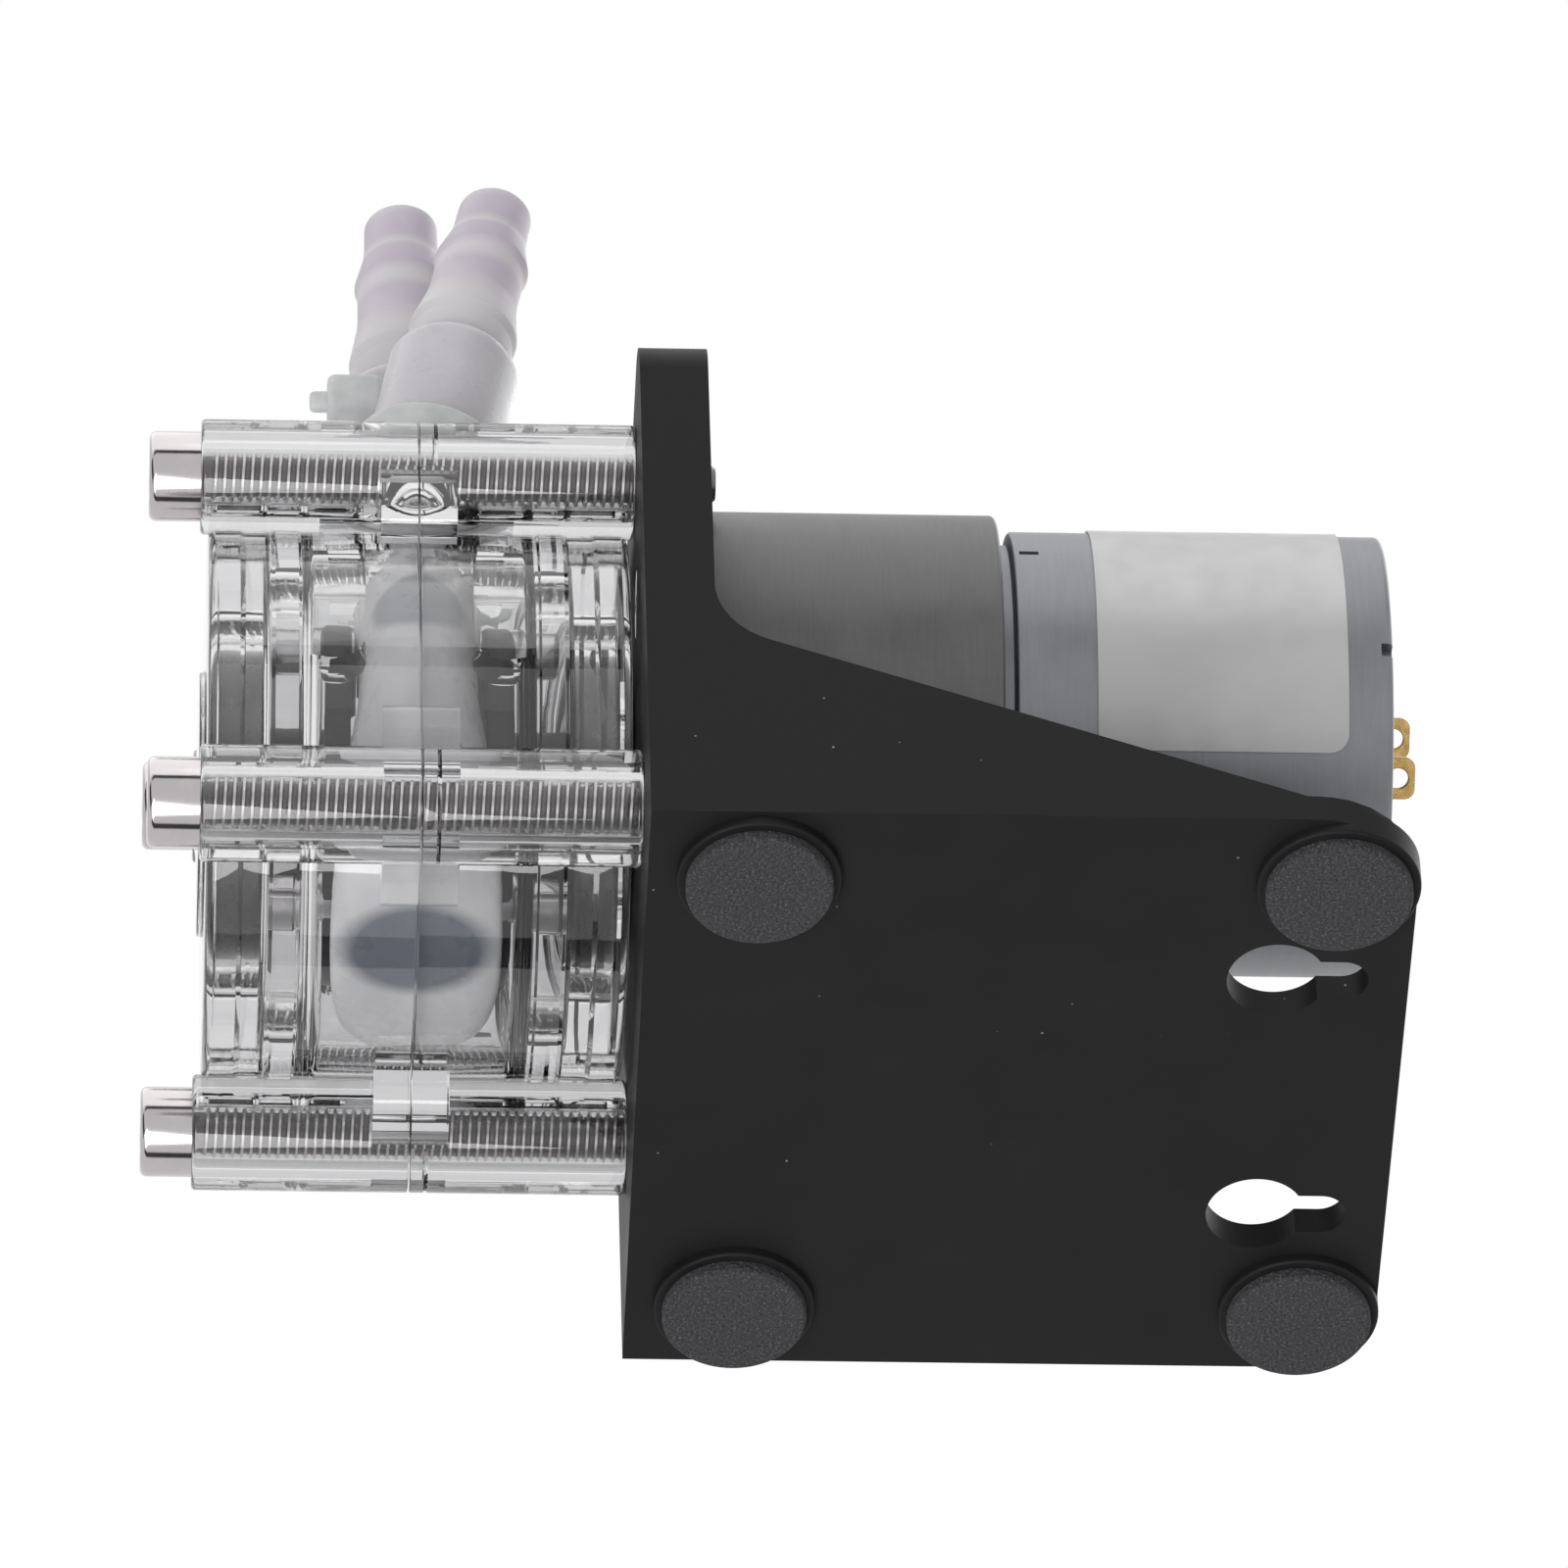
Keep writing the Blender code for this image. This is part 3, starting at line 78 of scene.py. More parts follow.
# %% [markdown]
# ## The studio
# The background is white. The camera looks up from under the floor, so the floor is only there for a
# ray that comes from above: from below, and for light, it lets everything through. The world is white
# to the eye and in reflections, but gives the object only a soft part of its light. The lamps are wide,
# a few dark cards, which only show in gloss, give metal and clear plastic edges, and a pale sheet shows
# only through clear plastic.


# %% Floor, world, lamps and cards
def node(tree, kind, **values):
    """A shader node with its settings."""
    made = tree.nodes.new(kind)
    for name, value in values.items():
        setattr(made, name, value)
    return made


def sum_of(tree, *sockets):
    """The sum of several sockets, no more than 1."""
    total = sockets[0]
    for socket in sockets[1:]:
        add = node(tree, "ShaderNodeMath", operation="ADD", use_clamp=True)
        tree.links.new(total, add.inputs[0])
        tree.links.new(socket, add.inputs[1])
        total = add.outputs[0]
    return total


FLOOR_HALF = 2.5
FLOOR_DROP = 0.0002
floor_mesh = bpy.data.meshes.new("floor")
sheet = bmesh.new()
bmesh.ops.create_grid(sheet, x_segments=1, y_segments=1, size=FLOOR_HALF)
sheet.to_mesh(floor_mesh)
sheet.free()
floor = bpy.data.objects.new("floor", floor_mesh)
floor.location.z = -FLOOR_DROP
scene.collection.objects.link(floor)
floor_look = bpy.data.materials.new("pale_floor")
floor_look.use_nodes = True
tree = floor_look.node_tree
tree.nodes.clear()
path = node(tree, "ShaderNodeLightPath")
side = node(tree, "ShaderNodeNewGeometry")
pale = node(tree, "ShaderNodeBsdfDiffuse")
pale.inputs["Color"].default_value = (0.86, 0.86, 0.86, 1.0)
open_air = node(tree, "ShaderNodeBsdfTransparent")
above = node(tree, "ShaderNodeMath", operation="SUBTRACT")
above.inputs[0].default_value = 1.0
tree.links.new(side.outputs["Backfacing"], above.inputs[1])
seen = node(tree, "ShaderNodeMath", operation="MULTIPLY")
tree.links.new(sum_of(tree, path.outputs["Is Camera Ray"], path.outputs["Is Transmission Ray"]), seen.inputs[0])
tree.links.new(above.outputs[0], seen.inputs[1])
blend = node(tree, "ShaderNodeMixShader")
tree.links.new(seen.outputs[0], blend.inputs[0])
tree.links.new(open_air.outputs[0], blend.inputs[1])
tree.links.new(pale.outputs[0], blend.inputs[2])
result = node(tree, "ShaderNodeOutputMaterial")
tree.links.new(blend.outputs[0], result.inputs["Surface"])
floor_mesh.materials.append(floor_look)

WORLD_LIGHT = 0.42
world = bpy.data.worlds.new("studio")
scene.world = world
world.use_nodes = True
tree = world.node_tree
tree.nodes.clear()
path = node(tree, "ShaderNodeLightPath")
white = node(tree, "ShaderNodeBackground")
white.inputs["Strength"].default_value = 1.0
white.inputs["Color"].default_value = (1.0, 1.0, 1.0, 1.0)
soft = node(tree, "ShaderNodeBackground")
soft.inputs["Strength"].default_value = WORLD_LIGHT
blend = node(tree, "ShaderNodeMixShader")
rays = ("Is Camera Ray", "Is Glossy Ray", "Is Transmission Ray")
tree.links.new(sum_of(tree, *(path.outputs[ray] for ray in rays)), blend.inputs[0])
tree.links.new(soft.outputs[0], blend.inputs[1])
tree.links.new(white.outputs[0], blend.inputs[2])
result = node(tree, "ShaderNodeOutputWorld")
tree.links.new(blend.outputs[0], result.inputs["Surface"])

TARGET = Vector((0.0, 0.0, 0.04))


def lamp(name, place, size, watts):
    """A square soft box that looks at the pump."""
    light = bpy.data.lights.new(name, "AREA")
    light.size = size
    light.energy = watts
    holder = bpy.data.objects.new(name, light)
    holder.location = place
    holder.rotation_euler = (TARGET - Vector(place)).to_track_quat("-Z", "Y").to_euler()
    holder.visible_transmission = False
    scene.collection.objects.link(holder)
    return holder


lamp("top_box", (0.35, -0.25, 0.95), 1.5, 5.0)
lamp("under_box", (0.45, -0.35, -0.85), 0.7, 9.0)
lamp("side_box", (0.95, 0.4, 0.6), 0.9, 0.5)
lamp("rear_box", (-0.75, 0.8, 1.0), 1.2, 6.0)

card_look = bpy.data.materials.new("dark_card")
card_look.use_nodes = True
card_look.node_tree.nodes["Principled BSDF"].inputs["Base Color"].default_value = (0.06, 0.06, 0.06, 1.0)
card_look.node_tree.nodes["Principled BSDF"].inputs["Roughness"].default_value = 1.0


def card(name, look, place, width, height, in_gloss):
    """A card that shows only in gloss, or only through clear plastic."""
    shape = bmesh.new()
    bmesh.ops.create_grid(shape, x_segments=1, y_segments=1, size=0.5)
    bmesh.ops.scale(shape, vec=(width, height, 1.0), verts=shape.verts)
    mesh = bpy.data.meshes.new(name)
    shape.to_mesh(mesh)
    shape.free()
    mesh.materials.append(look)
    made = bpy.data.objects.new(name, mesh)
    made.location = place
    made.rotation_euler = (TARGET - Vector(place)).to_track_quat("-Z", "Y").to_euler()
    made.visible_camera = False
    made.visible_diffuse = False
    made.visible_glossy = in_gloss
    made.visible_transmission = not in_gloss
    made.visible_shadow = False
    scene.collection.objects.link(made)


sheet_look = bpy.data.materials.new("pale_sheet")
sheet_look.use_nodes = True
tree = sheet_look.node_tree
glow = node(tree, "ShaderNodeEmission")
glow.inputs["Color"].default_value = (0.76, 0.76, 0.77, 1.0)
glow.inputs["Strength"].default_value = 1.0
tree.links.new(glow.outputs[0], tree.nodes["Material Output"].inputs["Surface"])

card("left_card", card_look, (0.35, -0.95, -0.1), 0.45, 0.9, True)
card("upper_card", card_look, (0.94, -0.05, 0.38), 1.6, 0.17, True)
card("lower_card", card_look, (-0.30, -0.05, -0.92), 1.6, 0.26, True)
card("pale_sheet", sheet_look, (-0.85, -0.05, 0.9), 2.0, 2.0, False)
print("studio: 4 lamps, 3 dark cards and a pale sheet")

# %% [markdown]
# ## Tools for the pieces
# Most of the pump is turned or moulded. A turned piece is one profile carried round an axis, with its
# corners rounded first, because a round edge catches the light as a real one does. A moulded piece is a
# few solids joined and cut by Booleans. All of them are worked out at once, so no modifier is left.

# %% Tools
MM = 0.001
FINE = 96
MEDIUM = 64
SMALL = 40
SHARP_EDGE = math.radians(32.0)


def mm(*values):
    """Millimetres as a vector in metres."""
    return Vector(values) * MM


def as_piece(name, shape, look, keep_hard=SHARP_EDGE):
    """An object from a bmesh, smooth but for its hard edges."""
    bmesh.ops.recalc_face_normals(shape, faces=shape.faces)
    mesh = bpy.data.meshes.new(name)
    shape.to_mesh(mesh)
    shape.free()
    made = bpy.data.objects.new(name, mesh)
    scene.collection.objects.link(made)
    if look is not None:
        mesh.materials.append(look)
    mesh.shade_smooth()
    mesh.set_sharp_from_angle(angle=keep_hard)
    return made


def eased(corners, steps=6, loop=False):
    """Points (u, v) or (u, v, radius) with each given radius made into an arc, all in millimetres."""
    points = []
    count = len(corners)
    for i, corner in enumerate(corners):
        here = Vector(corner[:2])
        radius = corner[2] if len(corner) > 2 else 0.0
        if radius == 0.0 or (not loop and i in (0, count - 1)):
            points.append(here)
            continue
        back = (Vector(corners[i - 1][:2]) - here).normalized()
        on = (Vector(corners[(i + 1) % count][:2]) - here).normalized()
        half = back.angle(on) / 2
        centre = here + (back + on).normalized() * radius / math.sin(half)
        first = here + back * radius / math.tan(half) - centre
        last = here + on * radius / math.tan(half) - centre
        for k in range(steps + 1):
            points.append(centre + first.lerp(last, k / steps).normalized() * radius)
    return points


def turned(name, look, profile, steps=FINE, loop=False, place=None, ease_steps=6):
    """Turns (radius, along) points, in millimetres, about the Y axis."""
    shape = bmesh.new()
    rings = []
    for radius, along in eased(profile, ease_steps, loop):
        if radius < 0.0001:
            rings.append([shape.verts.new((0.0, along * MM, 0.0))])
            continue
        ring = []
        for k in range(steps):
            angle = 2 * math.pi * k / steps
            ring.append(shape.verts.new((radius * math.cos(angle) * MM, along * MM, radius * math.sin(angle) * MM)))
        rings.append(ring)
    pairs = list(zip(rings, rings[1:]))
    if loop:
        pairs.append((rings[-1], rings[0]))
    for first, second in pairs:
        if len(first) == 1 and len(second) == 1:
            continue
        for k in range(steps):
            n = k + 1
            corners = (
                first[k % len(first)],
                first[n % len(first)],
                second[n % len(second)],
                second[k % len(second)],
            )
            shape.faces.new(list(dict.fromkeys(corners)))
    made = as_piece(name, shape, look)
    if place is not None:
        made.matrix_world = Matrix.Translation(place)
    return made


def slab(name, look, points, start, end, across):
    """A flat outline, in millimetres, made thick from start to end across X, Y or Z."""
    order = {"X": lambda u, v, w: (w, u, v), "Y": lambda u, v, w: (u, w, v), "Z": lambda u, v, w: (u, v, w)}[across]
    shape = bmesh.new()
    low = [shape.verts.new(mm(*order(u, v, start))) for u, v in points]
    high = [shape.verts.new(mm(*order(u, v, end))) for u, v in points]
    shape.faces.new(low)
    shape.faces.new(list(reversed(high)))
    for k in range(len(points)):
        n = (k + 1) % len(points)
        shape.faces.new((low[k], high[k], high[n], low[n]))
    return as_piece(name, shape, look)


def block(name, look, low, high, radius=0.0):
    """A box between two corners in millimetres, rounded along its upright edges."""
    corners = ((low[0], low[1], radius), (high[0], low[1], radius), (high[0], high[1], radius), (low[0], high[1], radius))
    return slab(name, look, eased(corners, 5, True), low[2], high[2], "Z")


def settle(target, keep_hard=SHARP_EDGE):
    """Works out a piece's modifiers into its mesh; without an angle it keeps the normals it has."""
    graph = bpy.context.evaluated_depsgraph_get()
    graph.update()
    mesh = bpy.data.meshes.new_from_object(target.evaluated_get(graph))
    target.modifiers.clear()
    target.data = mesh
    if keep_hard is not None:
        mesh.shade_smooth()
        mesh.set_sharp_from_angle(angle=keep_hard)
    return target


def shaped(target, *steps):
    """Joins (+) and cuts (-) other solids, which are used up."""
    for sign, tool in steps:
        change = target.modifiers.new(tool.name, "BOOLEAN")
        change.object = tool
        change.operation = {"+": "UNION", "-": "DIFFERENCE", "&": "INTERSECT"}[sign]
        change.solver = "EXACT"
    settle(target)
    for sign, tool in steps:
        bpy.data.objects.remove(tool, do_unlink=True)
    return target


def round_edges(target, width, segments=2, angle=40.0):
    """Rounds the hard edges of a piece, width in millimetres, and keeps its flat faces flat."""
    ease = target.modifiers.new("rounded edges", "BEVEL")
    ease.width = width * MM
    ease.segments = segments
    ease.limit_method = "ANGLE"
    ease.angle_limit = math.radians(angle)
    ease.use_clamp_overlap = True
    ease.miter_outer = "MITER_ARC"
    flat = target.modifiers.new("flat faces", "WEIGHTED_NORMAL")
    flat.keep_sharp = True
    return settle(target, None)


def joined(name, pieces):
    """Several pieces as one."""
    shape = bmesh.new()
    for piece in pieces:
        copy = piece.data.copy()
        copy.transform(piece.matrix_world)
        shape.from_mesh(copy)
        bpy.data.meshes.remove(copy)
    look = pieces[0].data.materials[0]
    for piece in pieces:
        bpy.data.objects.remove(piece, do_unlink=True)
    return as_piece(name, shape, look)


def fitted(piece, body, slot, *stands_for):
    """Rides a piece on its body in place of its CAD nodes."""
    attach(piece, body)
    if stands_for:
        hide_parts(*stands_for)
    return piece


print("tools ready")

# %% [markdown]
# ## Finishes
# Each finish starts from the Principled shader, and procedural noise in metres gives it the scale of the
# real surface: moulded grain, turning marks, foam cells, flow in clear plastic, frost on nylon.


# %% Finish helpers
def finish(name, colour, roughness, metallic=0.0):
    """A new Principled finish, with its tree and shader."""
    look = bpy.data.materials.new(name)
    look.use_nodes = True
    shader = look.node_tree.nodes["Principled BSDF"]
    shader.inputs["Base Color"].default_value = (*colour, 1.0)
    shader.inputs["Roughness"].default_value = roughness
    shader.inputs["Metallic"].default_value = metallic
    look.diffuse_color = (*colour, 1.0)
    return look, look.node_tree, shader


def place_of(tree, stretch=(1.0, 1.0, 1.0)):
    """Object coordinates in metres, stretched along the axes."""
    where = node(tree, "ShaderNodeTexCoord")
    scale = node(tree, "ShaderNodeMapping")
    scale.inputs["Scale"].default_value = stretch
    tree.links.new(where.outputs["Object"], scale.inputs["Vector"])
    return scale.outputs["Vector"]


def noise(tree, where, size_mm, detail=3.0, rough=0.5):
    """Cloudy noise with patches of about a size."""
    made = node(tree, "ShaderNodeTexNoise")
    made.inputs["Scale"].default_value = 1.0 / (size_mm * MM)
    made.inputs["Detail"].default_value = detail
    made.inputs["Roughness"].default_value = rough
    tree.links.new(where, made.inputs["Vector"])
    return made.outputs["Fac"]


def cells(tree, where, size_mm, feature="F1"):
    """Distances in a field of cells of about a size."""
    made = node(tree, "ShaderNodeTexVoronoi", feature=feature)
    made.inputs["Scale"].default_value = 1.0 / (size_mm * MM)
    tree.links.new(where, made.inputs["Vector"])
    return made.outputs["Distance"]


def ramp(tree, value, *stops):
    """Colours along a value; each stop is a position and a colour or a grey."""
    made = node(tree, "ShaderNodeValToRGB")
    bar = made.color_ramp
    while len(bar.elements) < len(stops):
        bar.elements.new(0.5)
    for element, (position, colour) in zip(bar.elements, stops):
        element.position = position
        element.color = (*colour, 1.0) if isinstance(colour, tuple) else (colour, colour, colour, 1.0)
    tree.links.new(value, made.inputs["Fac"])
    return made.outputs["Color"]


def mixed(tree, share, first, second, how="MIX"):
    """Two colours mixed by a share, each a socket or a colour."""
    made = node(tree, "ShaderNodeMix", data_type="RGBA", blend_type=how)
    for socket, value in ((made.inputs[0], share), (made.inputs[6], first), (made.inputs[7], second)):
        if isinstance(value, bpy.types.NodeSocket):
            tree.links.new(value, socket)
        elif isinstance(value, tuple):
            socket.default_value = (*value, 1.0)
        else:
            socket.default_value = value
    return made.outputs[2]


def relief(tree, shader, height, depth_mm, strength=1.0):
    """Bump of a depth, added to what is there."""
    made = node(tree, "ShaderNodeBump")
    made.inputs["Strength"].default_value = strength
    made.inputs["Distance"].default_value = depth_mm * MM
    tree.links.new(height, made.inputs["Height"])
    old = shader.inputs["Normal"].links
    if old:
        tree.links.new(old[0].from_socket, made.inputs["Normal"])
    tree.links.new(made.outputs["Normal"], shader.inputs["Normal"])


print("finish helpers ready")

# %% [markdown]
# ### Black moulding, foam and clear plastic
# The bracket is satin black with a fine spark-eroded grain and a few specks of pale dust. The feet are
# closed-cell foam, all tiny dents. The head is clear polycarbonate: the shader's own transmission bends
# the view, and light that only casts shadows goes straight through, so that the inside is lit.

# %% Black moulding, foam and clear plastic
black_plastic, tree, shader = finish("black_moulding", (0.012, 0.012, 0.0125), 0.5)
shader.inputs["Specular IOR Level"].default_value = 0.1
where = place_of(tree)
grain = noise(tree, where, 0.16, 2.0)
cloud = noise(tree, where, 7.0, 4.0)
dust = ramp(tree, cells(tree, where, 2.6), (0.0, 1.0), (0.026, 1.0), (0.044, 0.0))
dust_patch = ramp(tree, noise(tree, where, 3.1, 1.0), (0.52, 0.0), (0.6, 1.0))
tone = ramp(tree, cloud, (0.3, (0.0100, 0.0100, 0.0105)), (0.7, (0.0140, 0.0140, 0.0147)))
speck = mixed(tree, 1.0, dust, dust_patch, "MULTIPLY")
tree.links.new(mixed(tree, speck, tone, (0.34, 0.34, 0.35)), shader.inputs["Base Color"])
tree.links.new(ramp(tree, cloud, (0.25, 0.44), (0.75, 0.56)), shader.inputs["Roughness"])
relief(tree, shader, grain, 0.012, 0.5)

rotor_plastic, tree, shader = finish("rotor_moulding", (0.012, 0.012, 0.013), 0.35)
shader.inputs["Specular IOR Level"].default_value = 0.15
where = place_of(tree)
tree.links.new(ramp(tree, noise(tree, where, 2.0), (0.3, 0.28), (0.7, 0.45)), shader.inputs["Roughness"])
tree.links.new(ramp(tree, noise(tree, where, 5.0), (0.3, 0.010), (0.7, 0.017)), shader.inputs["Base Color"])
relief(tree, shader, noise(tree, where, 0.3), 0.01, 0.4)

foam, tree, shader = finish("black_foam", (0.035, 0.035, 0.038), 0.95)
where = place_of(tree)
bubbles = cells(tree, where, 0.34)
fleck = noise(tree, where, 0.22, 3.0, 0.7)
tone = ramp(tree, fleck, (0.36, (0.014, 0.014, 0.016)), (0.58, (0.048, 0.048, 0.053)), (0.74, (0.16, 0.16, 0.17)))
tree.links.new(tone, shader.inputs["Base Color"])
relief(tree, shader, bubbles, 0.16, 0.9)
relief(tree, shader, fleck, 0.08, 0.7)


def lets_shadow_through(look, tint):
    """Light that casts shadows goes straight through, as it nearly does in thin clear plastic."""
    tree = look.node_tree
    shader = tree.nodes["Principled BSDF"]
    path = node(tree, "ShaderNodeLightPath")
    through = node(tree, "ShaderNodeBsdfTransparent")
    through.inputs["Color"].default_value = (*tint, 1.0)
    blend = node(tree, "ShaderNodeMixShader")
    tree.links.new(path.outputs["Is Shadow Ray"], blend.inputs[0])
    tree.links.new(shader.outputs[0], blend.inputs[1])
    tree.links.new(through.outputs[0], blend.inputs[2])
    tree.links.new(blend.outputs[0], tree.nodes["Material Output"].inputs["Surface"])


clear_plastic, tree, shader = finish("clear_polycarbonate", (0.80, 0.80, 0.805), 0.0)
shader.inputs["Transmission Weight"].default_value = 1.0
shader.inputs["IOR"].default_value = 1.585
where = place_of(tree)
tree.links.new(ramp(tree, noise(tree, where, 6.0), (0.45, 0.0), (0.85, 0.06)), shader.inputs["Roughness"])
relief(tree, shader, noise(tree, where, 5.0, 2.0), 0.05, 0.35)
lets_shadow_through(clear_plastic, (0.72, 0.72, 0.73))
print("black moulding, rotor moulding, foam and clear plastic")

# %% [markdown]
# ### Metals
# The screws are bright plated, the bearings and axles ground. The long screws' threads carry painted shade in
# their roots and a painted highlight on their crests. The gearbox ring and the motor can are zinc grey: fine
# turning marks run round them, so the noise is squeezed along the axis only, and a soft cloud breaks the
# sheen as handling does. The terminals are stamped brass.

# %% Metals
plated, tree, shader = finish("bright_plating", (0.78, 0.76, 0.77), 0.12, 1.0)
where = place_of(tree)
tree.links.new(ramp(tree, noise(tree, where, 1.6), (0.3, 0.07), (0.75, 0.2)), shader.inputs["Roughness"])
tone = ramp(tree, noise(tree, where, 3.0), (0.3, (0.72, 0.70, 0.71)), (0.7, (0.82, 0.80, 0.81)))
tree.links.new(tone, shader.inputs["Base Color"])
relief(tree, shader, noise(tree, where, 0.5), 0.004, 0.4)

thread_plating, tree, shader = finish("thread_plating", (0.60, 0.56, 0.57), 0.14, 1.0)
where = place_of(tree)
flat_place = place_of(tree, (1.0, 0.0, 1.0))
out_from_axis = node(tree, "ShaderNodeVectorMath", operation="LENGTH")
tree.links.new(flat_place, out_from_axis.inputs[0])
depth = node(tree, "ShaderNodeMapRange")
depth.inputs["From Min"].default_value = 1.60 * MM
depth.inputs["From Max"].default_value = 3.60 * MM
tree.links.new(out_from_axis.outputs["Value"], depth.inputs["Value"])
# Painted shade and highlight: by distance from the axis, the thread's roots are darkened and its crests brightened.
painted_root_shade_and_crest_highlight = ramp(tree, depth.outputs["Result"], (0.0, (0.13, 0.117, 0.12)), (0.1, (0.70, 0.64, 0.645)), (0.18, (0.98, 0.95, 0.955)), (0.25, (0.46, 0.44, 0.447)))
stain = ramp(tree, noise(tree, where, 2.5), (0.45, 0.0), (0.75, 0.3))
tree.links.new(mixed(tree, stain, painted_root_shade_and_crest_highlight, (0.60, 0.52, 0.51)), shader.inputs["Base Color"])
tree.links.new(ramp(tree, depth.outputs["Result"], (0.2, 0.26), (0.3, 0.12)), shader.inputs["Roughness"])
relief(tree, shader, noise(tree, where, 0.5), 0.004, 0.4)

bearing_steel, tree, shader = finish("ground_steel", (0.14, 0.14, 0.145), 0.3, 1.0)
where = place_of(tree)
tree.links.new(ramp(tree, noise(tree, where, 1.2), (0.3, 0.22), (0.7, 0.4)), shader.inputs["Roughness"])
tree.links.new(ramp(tree, noise(tree, where, 4.0), (0.3, 0.11), (0.7, 0.18)), shader.inputs["Base Color"])


def turned_metal(name, dark, light, rough, mark_mm):
    """Grey metal with fine marks that run round the Y axis."""
    look, tree, shader = finish(name, light, rough, 1.0)
    where = place_of(tree)
    marks = noise(tree, place_of(tree, (0.06, 1.0, 0.06)), mark_mm, 2.0, 0.6)
    cloud = noise(tree, where, 5.5, 4.0, 0.6)
    grit = noise(tree, where, 0.35, 2.0)
    base = ramp(tree, cloud, (0.3, dark), (0.7, light))
    tree.links.new(mixed(tree, 0.25, base, ramp(tree, marks, (0.3, dark), (0.7, light))), shader.inputs["Base Color"])
    tree.links.new(ramp(tree, cloud, (0.25, rough - 0.06), (0.75, rough + 0.08)), shader.inputs["Roughness"])
    relief(tree, shader, marks, 0.012, 0.45)
    relief(tree, shader, grit, 0.006, 0.4)
    return look


gearbox_metal = turned_metal("gearbox_zinc", (0.098, 0.098, 0.1), (0.138, 0.138, 0.14), 0.46, 0.22)
can_metal = turned_metal("can_zinc", (0.17, 0.175, 0.186), (0.228, 0.233, 0.246), 0.44, 0.3)
cap_metal = turned_metal("cap_zinc", (0.18, 0.184, 0.193), (0.26, 0.264, 0.274), 0.4, 0.5)

brass, tree, shader = finish("stamped_brass", (0.62, 0.42, 0.16), 0.25, 1.0)
where = place_of(tree)
tone = ramp(tree, noise(tree, where, 1.0), (0.3, (0.27, 0.17, 0.055)), (0.7, (0.44, 0.30, 0.12)))
tree.links.new(tone, shader.inputs["Base Color"])
tree.links.new(ramp(tree, noise(tree, where, 0.6), (0.3, 0.18), (0.7, 0.36)), shader.inputs["Roughness"])
print("plating, ground steel, three zinc greys and brass")

# %% [markdown]
# ### Soft and milky plastics
# Silicone, nylon and polypropylene all glow a little, because light wanders inside them. The Principled
# shader's subsurface does that. The tube has two darker patches of painted shade. The joiners are white
# with a faint mauve, and painted highlights make them whiter at their shoulders.

# %% Soft and milky plastics


def milky(name, dark, light, rough, depth_mm, cloud_mm, transmission=0.0):
    """A plastic that light wanders in, with a faint cloud of colour."""
    look, tree, shader = finish(name, light, rough)
    shader.inputs["Subsurface Weight"].default_value = 0.4
    shader.inputs["Specular IOR Level"].default_value = 0.2
    shader.inputs["Subsurface Radius"].default_value = (1.0, 1.0, 1.0)
    shader.inputs["Subsurface Scale"].default_value = depth_mm * MM
    shader.inputs["Transmission Weight"].default_value = transmission
    where = place_of(tree)
    tone = ramp(tree, noise(tree, where, cloud_mm, 3.0), (0.36, dark), (0.64, light))
    tree.links.new(tone, shader.inputs["Base Color"])
    tree.links.new(ramp(tree, noise(tree, where, 2.0), (0.3, rough - 0.03), (0.7, rough + 0.05)), shader.inputs["Roughness"])
    relief(tree, shader, noise(tree, where, 0.4), 0.006, 0.12)
    return look


silicone = milky("milky_silicone", (0.60, 0.60, 0.61), (0.67, 0.67, 0.68), 0.28, 2.0, 6.0)
tree = silicone.node_tree
shader = tree.nodes["Principled BSDF"]
shader.inputs["Specular IOR Level"].default_value = 0.45
pale = shader.inputs["Base Color"].links[0].from_socket
INSERT_SHOWS = (60.0, 67.0)
parts = node(tree, "ShaderNodeSeparateXYZ")
tree.links.new(place_of(tree), parts.inputs["Vector"])
height = node(tree, "ShaderNodeMapRange")
height.inputs["From Min"].default_value = INSERT_SHOWS[0] * MM
height.inputs["From Max"].default_value = INSERT_SHOWS[1] * MM
height.inputs["To Max"].default_value = 0.3
tree.links.new(parts.outputs["Z"], height.inputs["Value"])
pale = mixed(tree, height.outputs["Result"], pale, (0.66, 0.59, 0.68))
# Painted shade: the tube is darkened in two patches, each given as x, y, z and size in millimetres and the share of the
# dark colour. The first patch lies where a roller presses the tube.
PAINTED_SHADE_SPOTS = ((3.3, -28.95, 15.3, 4.8, 1.0), (18.6, -28.95, 35.2, 3.6, 0.72))
for x, y, z, size, share in PAINTED_SHADE_SPOTS:
    shift = node(tree, "ShaderNodeVectorMath", operation="SUBTRACT")
    tree.links.new(place_of(tree), shift.inputs[0])
    shift.inputs[1].default_value = mm(x, y, z)
    squeeze = node(tree, "ShaderNodeVectorMath", operation="MULTIPLY")
    tree.links.new(shift.outputs[0], squeeze.inputs[0])
    squeeze.inputs[1].default_value = (1.0, 0.65, 1.0)
    away = node(tree, "ShaderNodeVectorMath", operation="LENGTH")
    tree.links.new(squeeze.outputs[0], away.inputs[0])
    fall = node(tree, "ShaderNodeMapRange")
    fall.inputs["From Max"].default_value = size * MM
    tree.links.new(away.outputs["Value"], fall.inputs["Value"])
    painted_shade_share = ramp(tree, fall.outputs["Result"], (0.72, share), (0.92, 0.0))
    pale = mixed(tree, painted_shade_share, pale, (0.15, 0.17, 0.2))
tree.links.new(pale, shader.inputs["Base Color"])
nylon = milky("white_nylon", (0.72, 0.72, 0.71), (0.80, 0.80, 0.79), 0.38, 1.0, 3.0)
tie_nylon = milky("tie_nylon", (0.66, 0.67, 0.67), (0.76, 0.77, 0.77), 0.4, 1.2, 2.0)
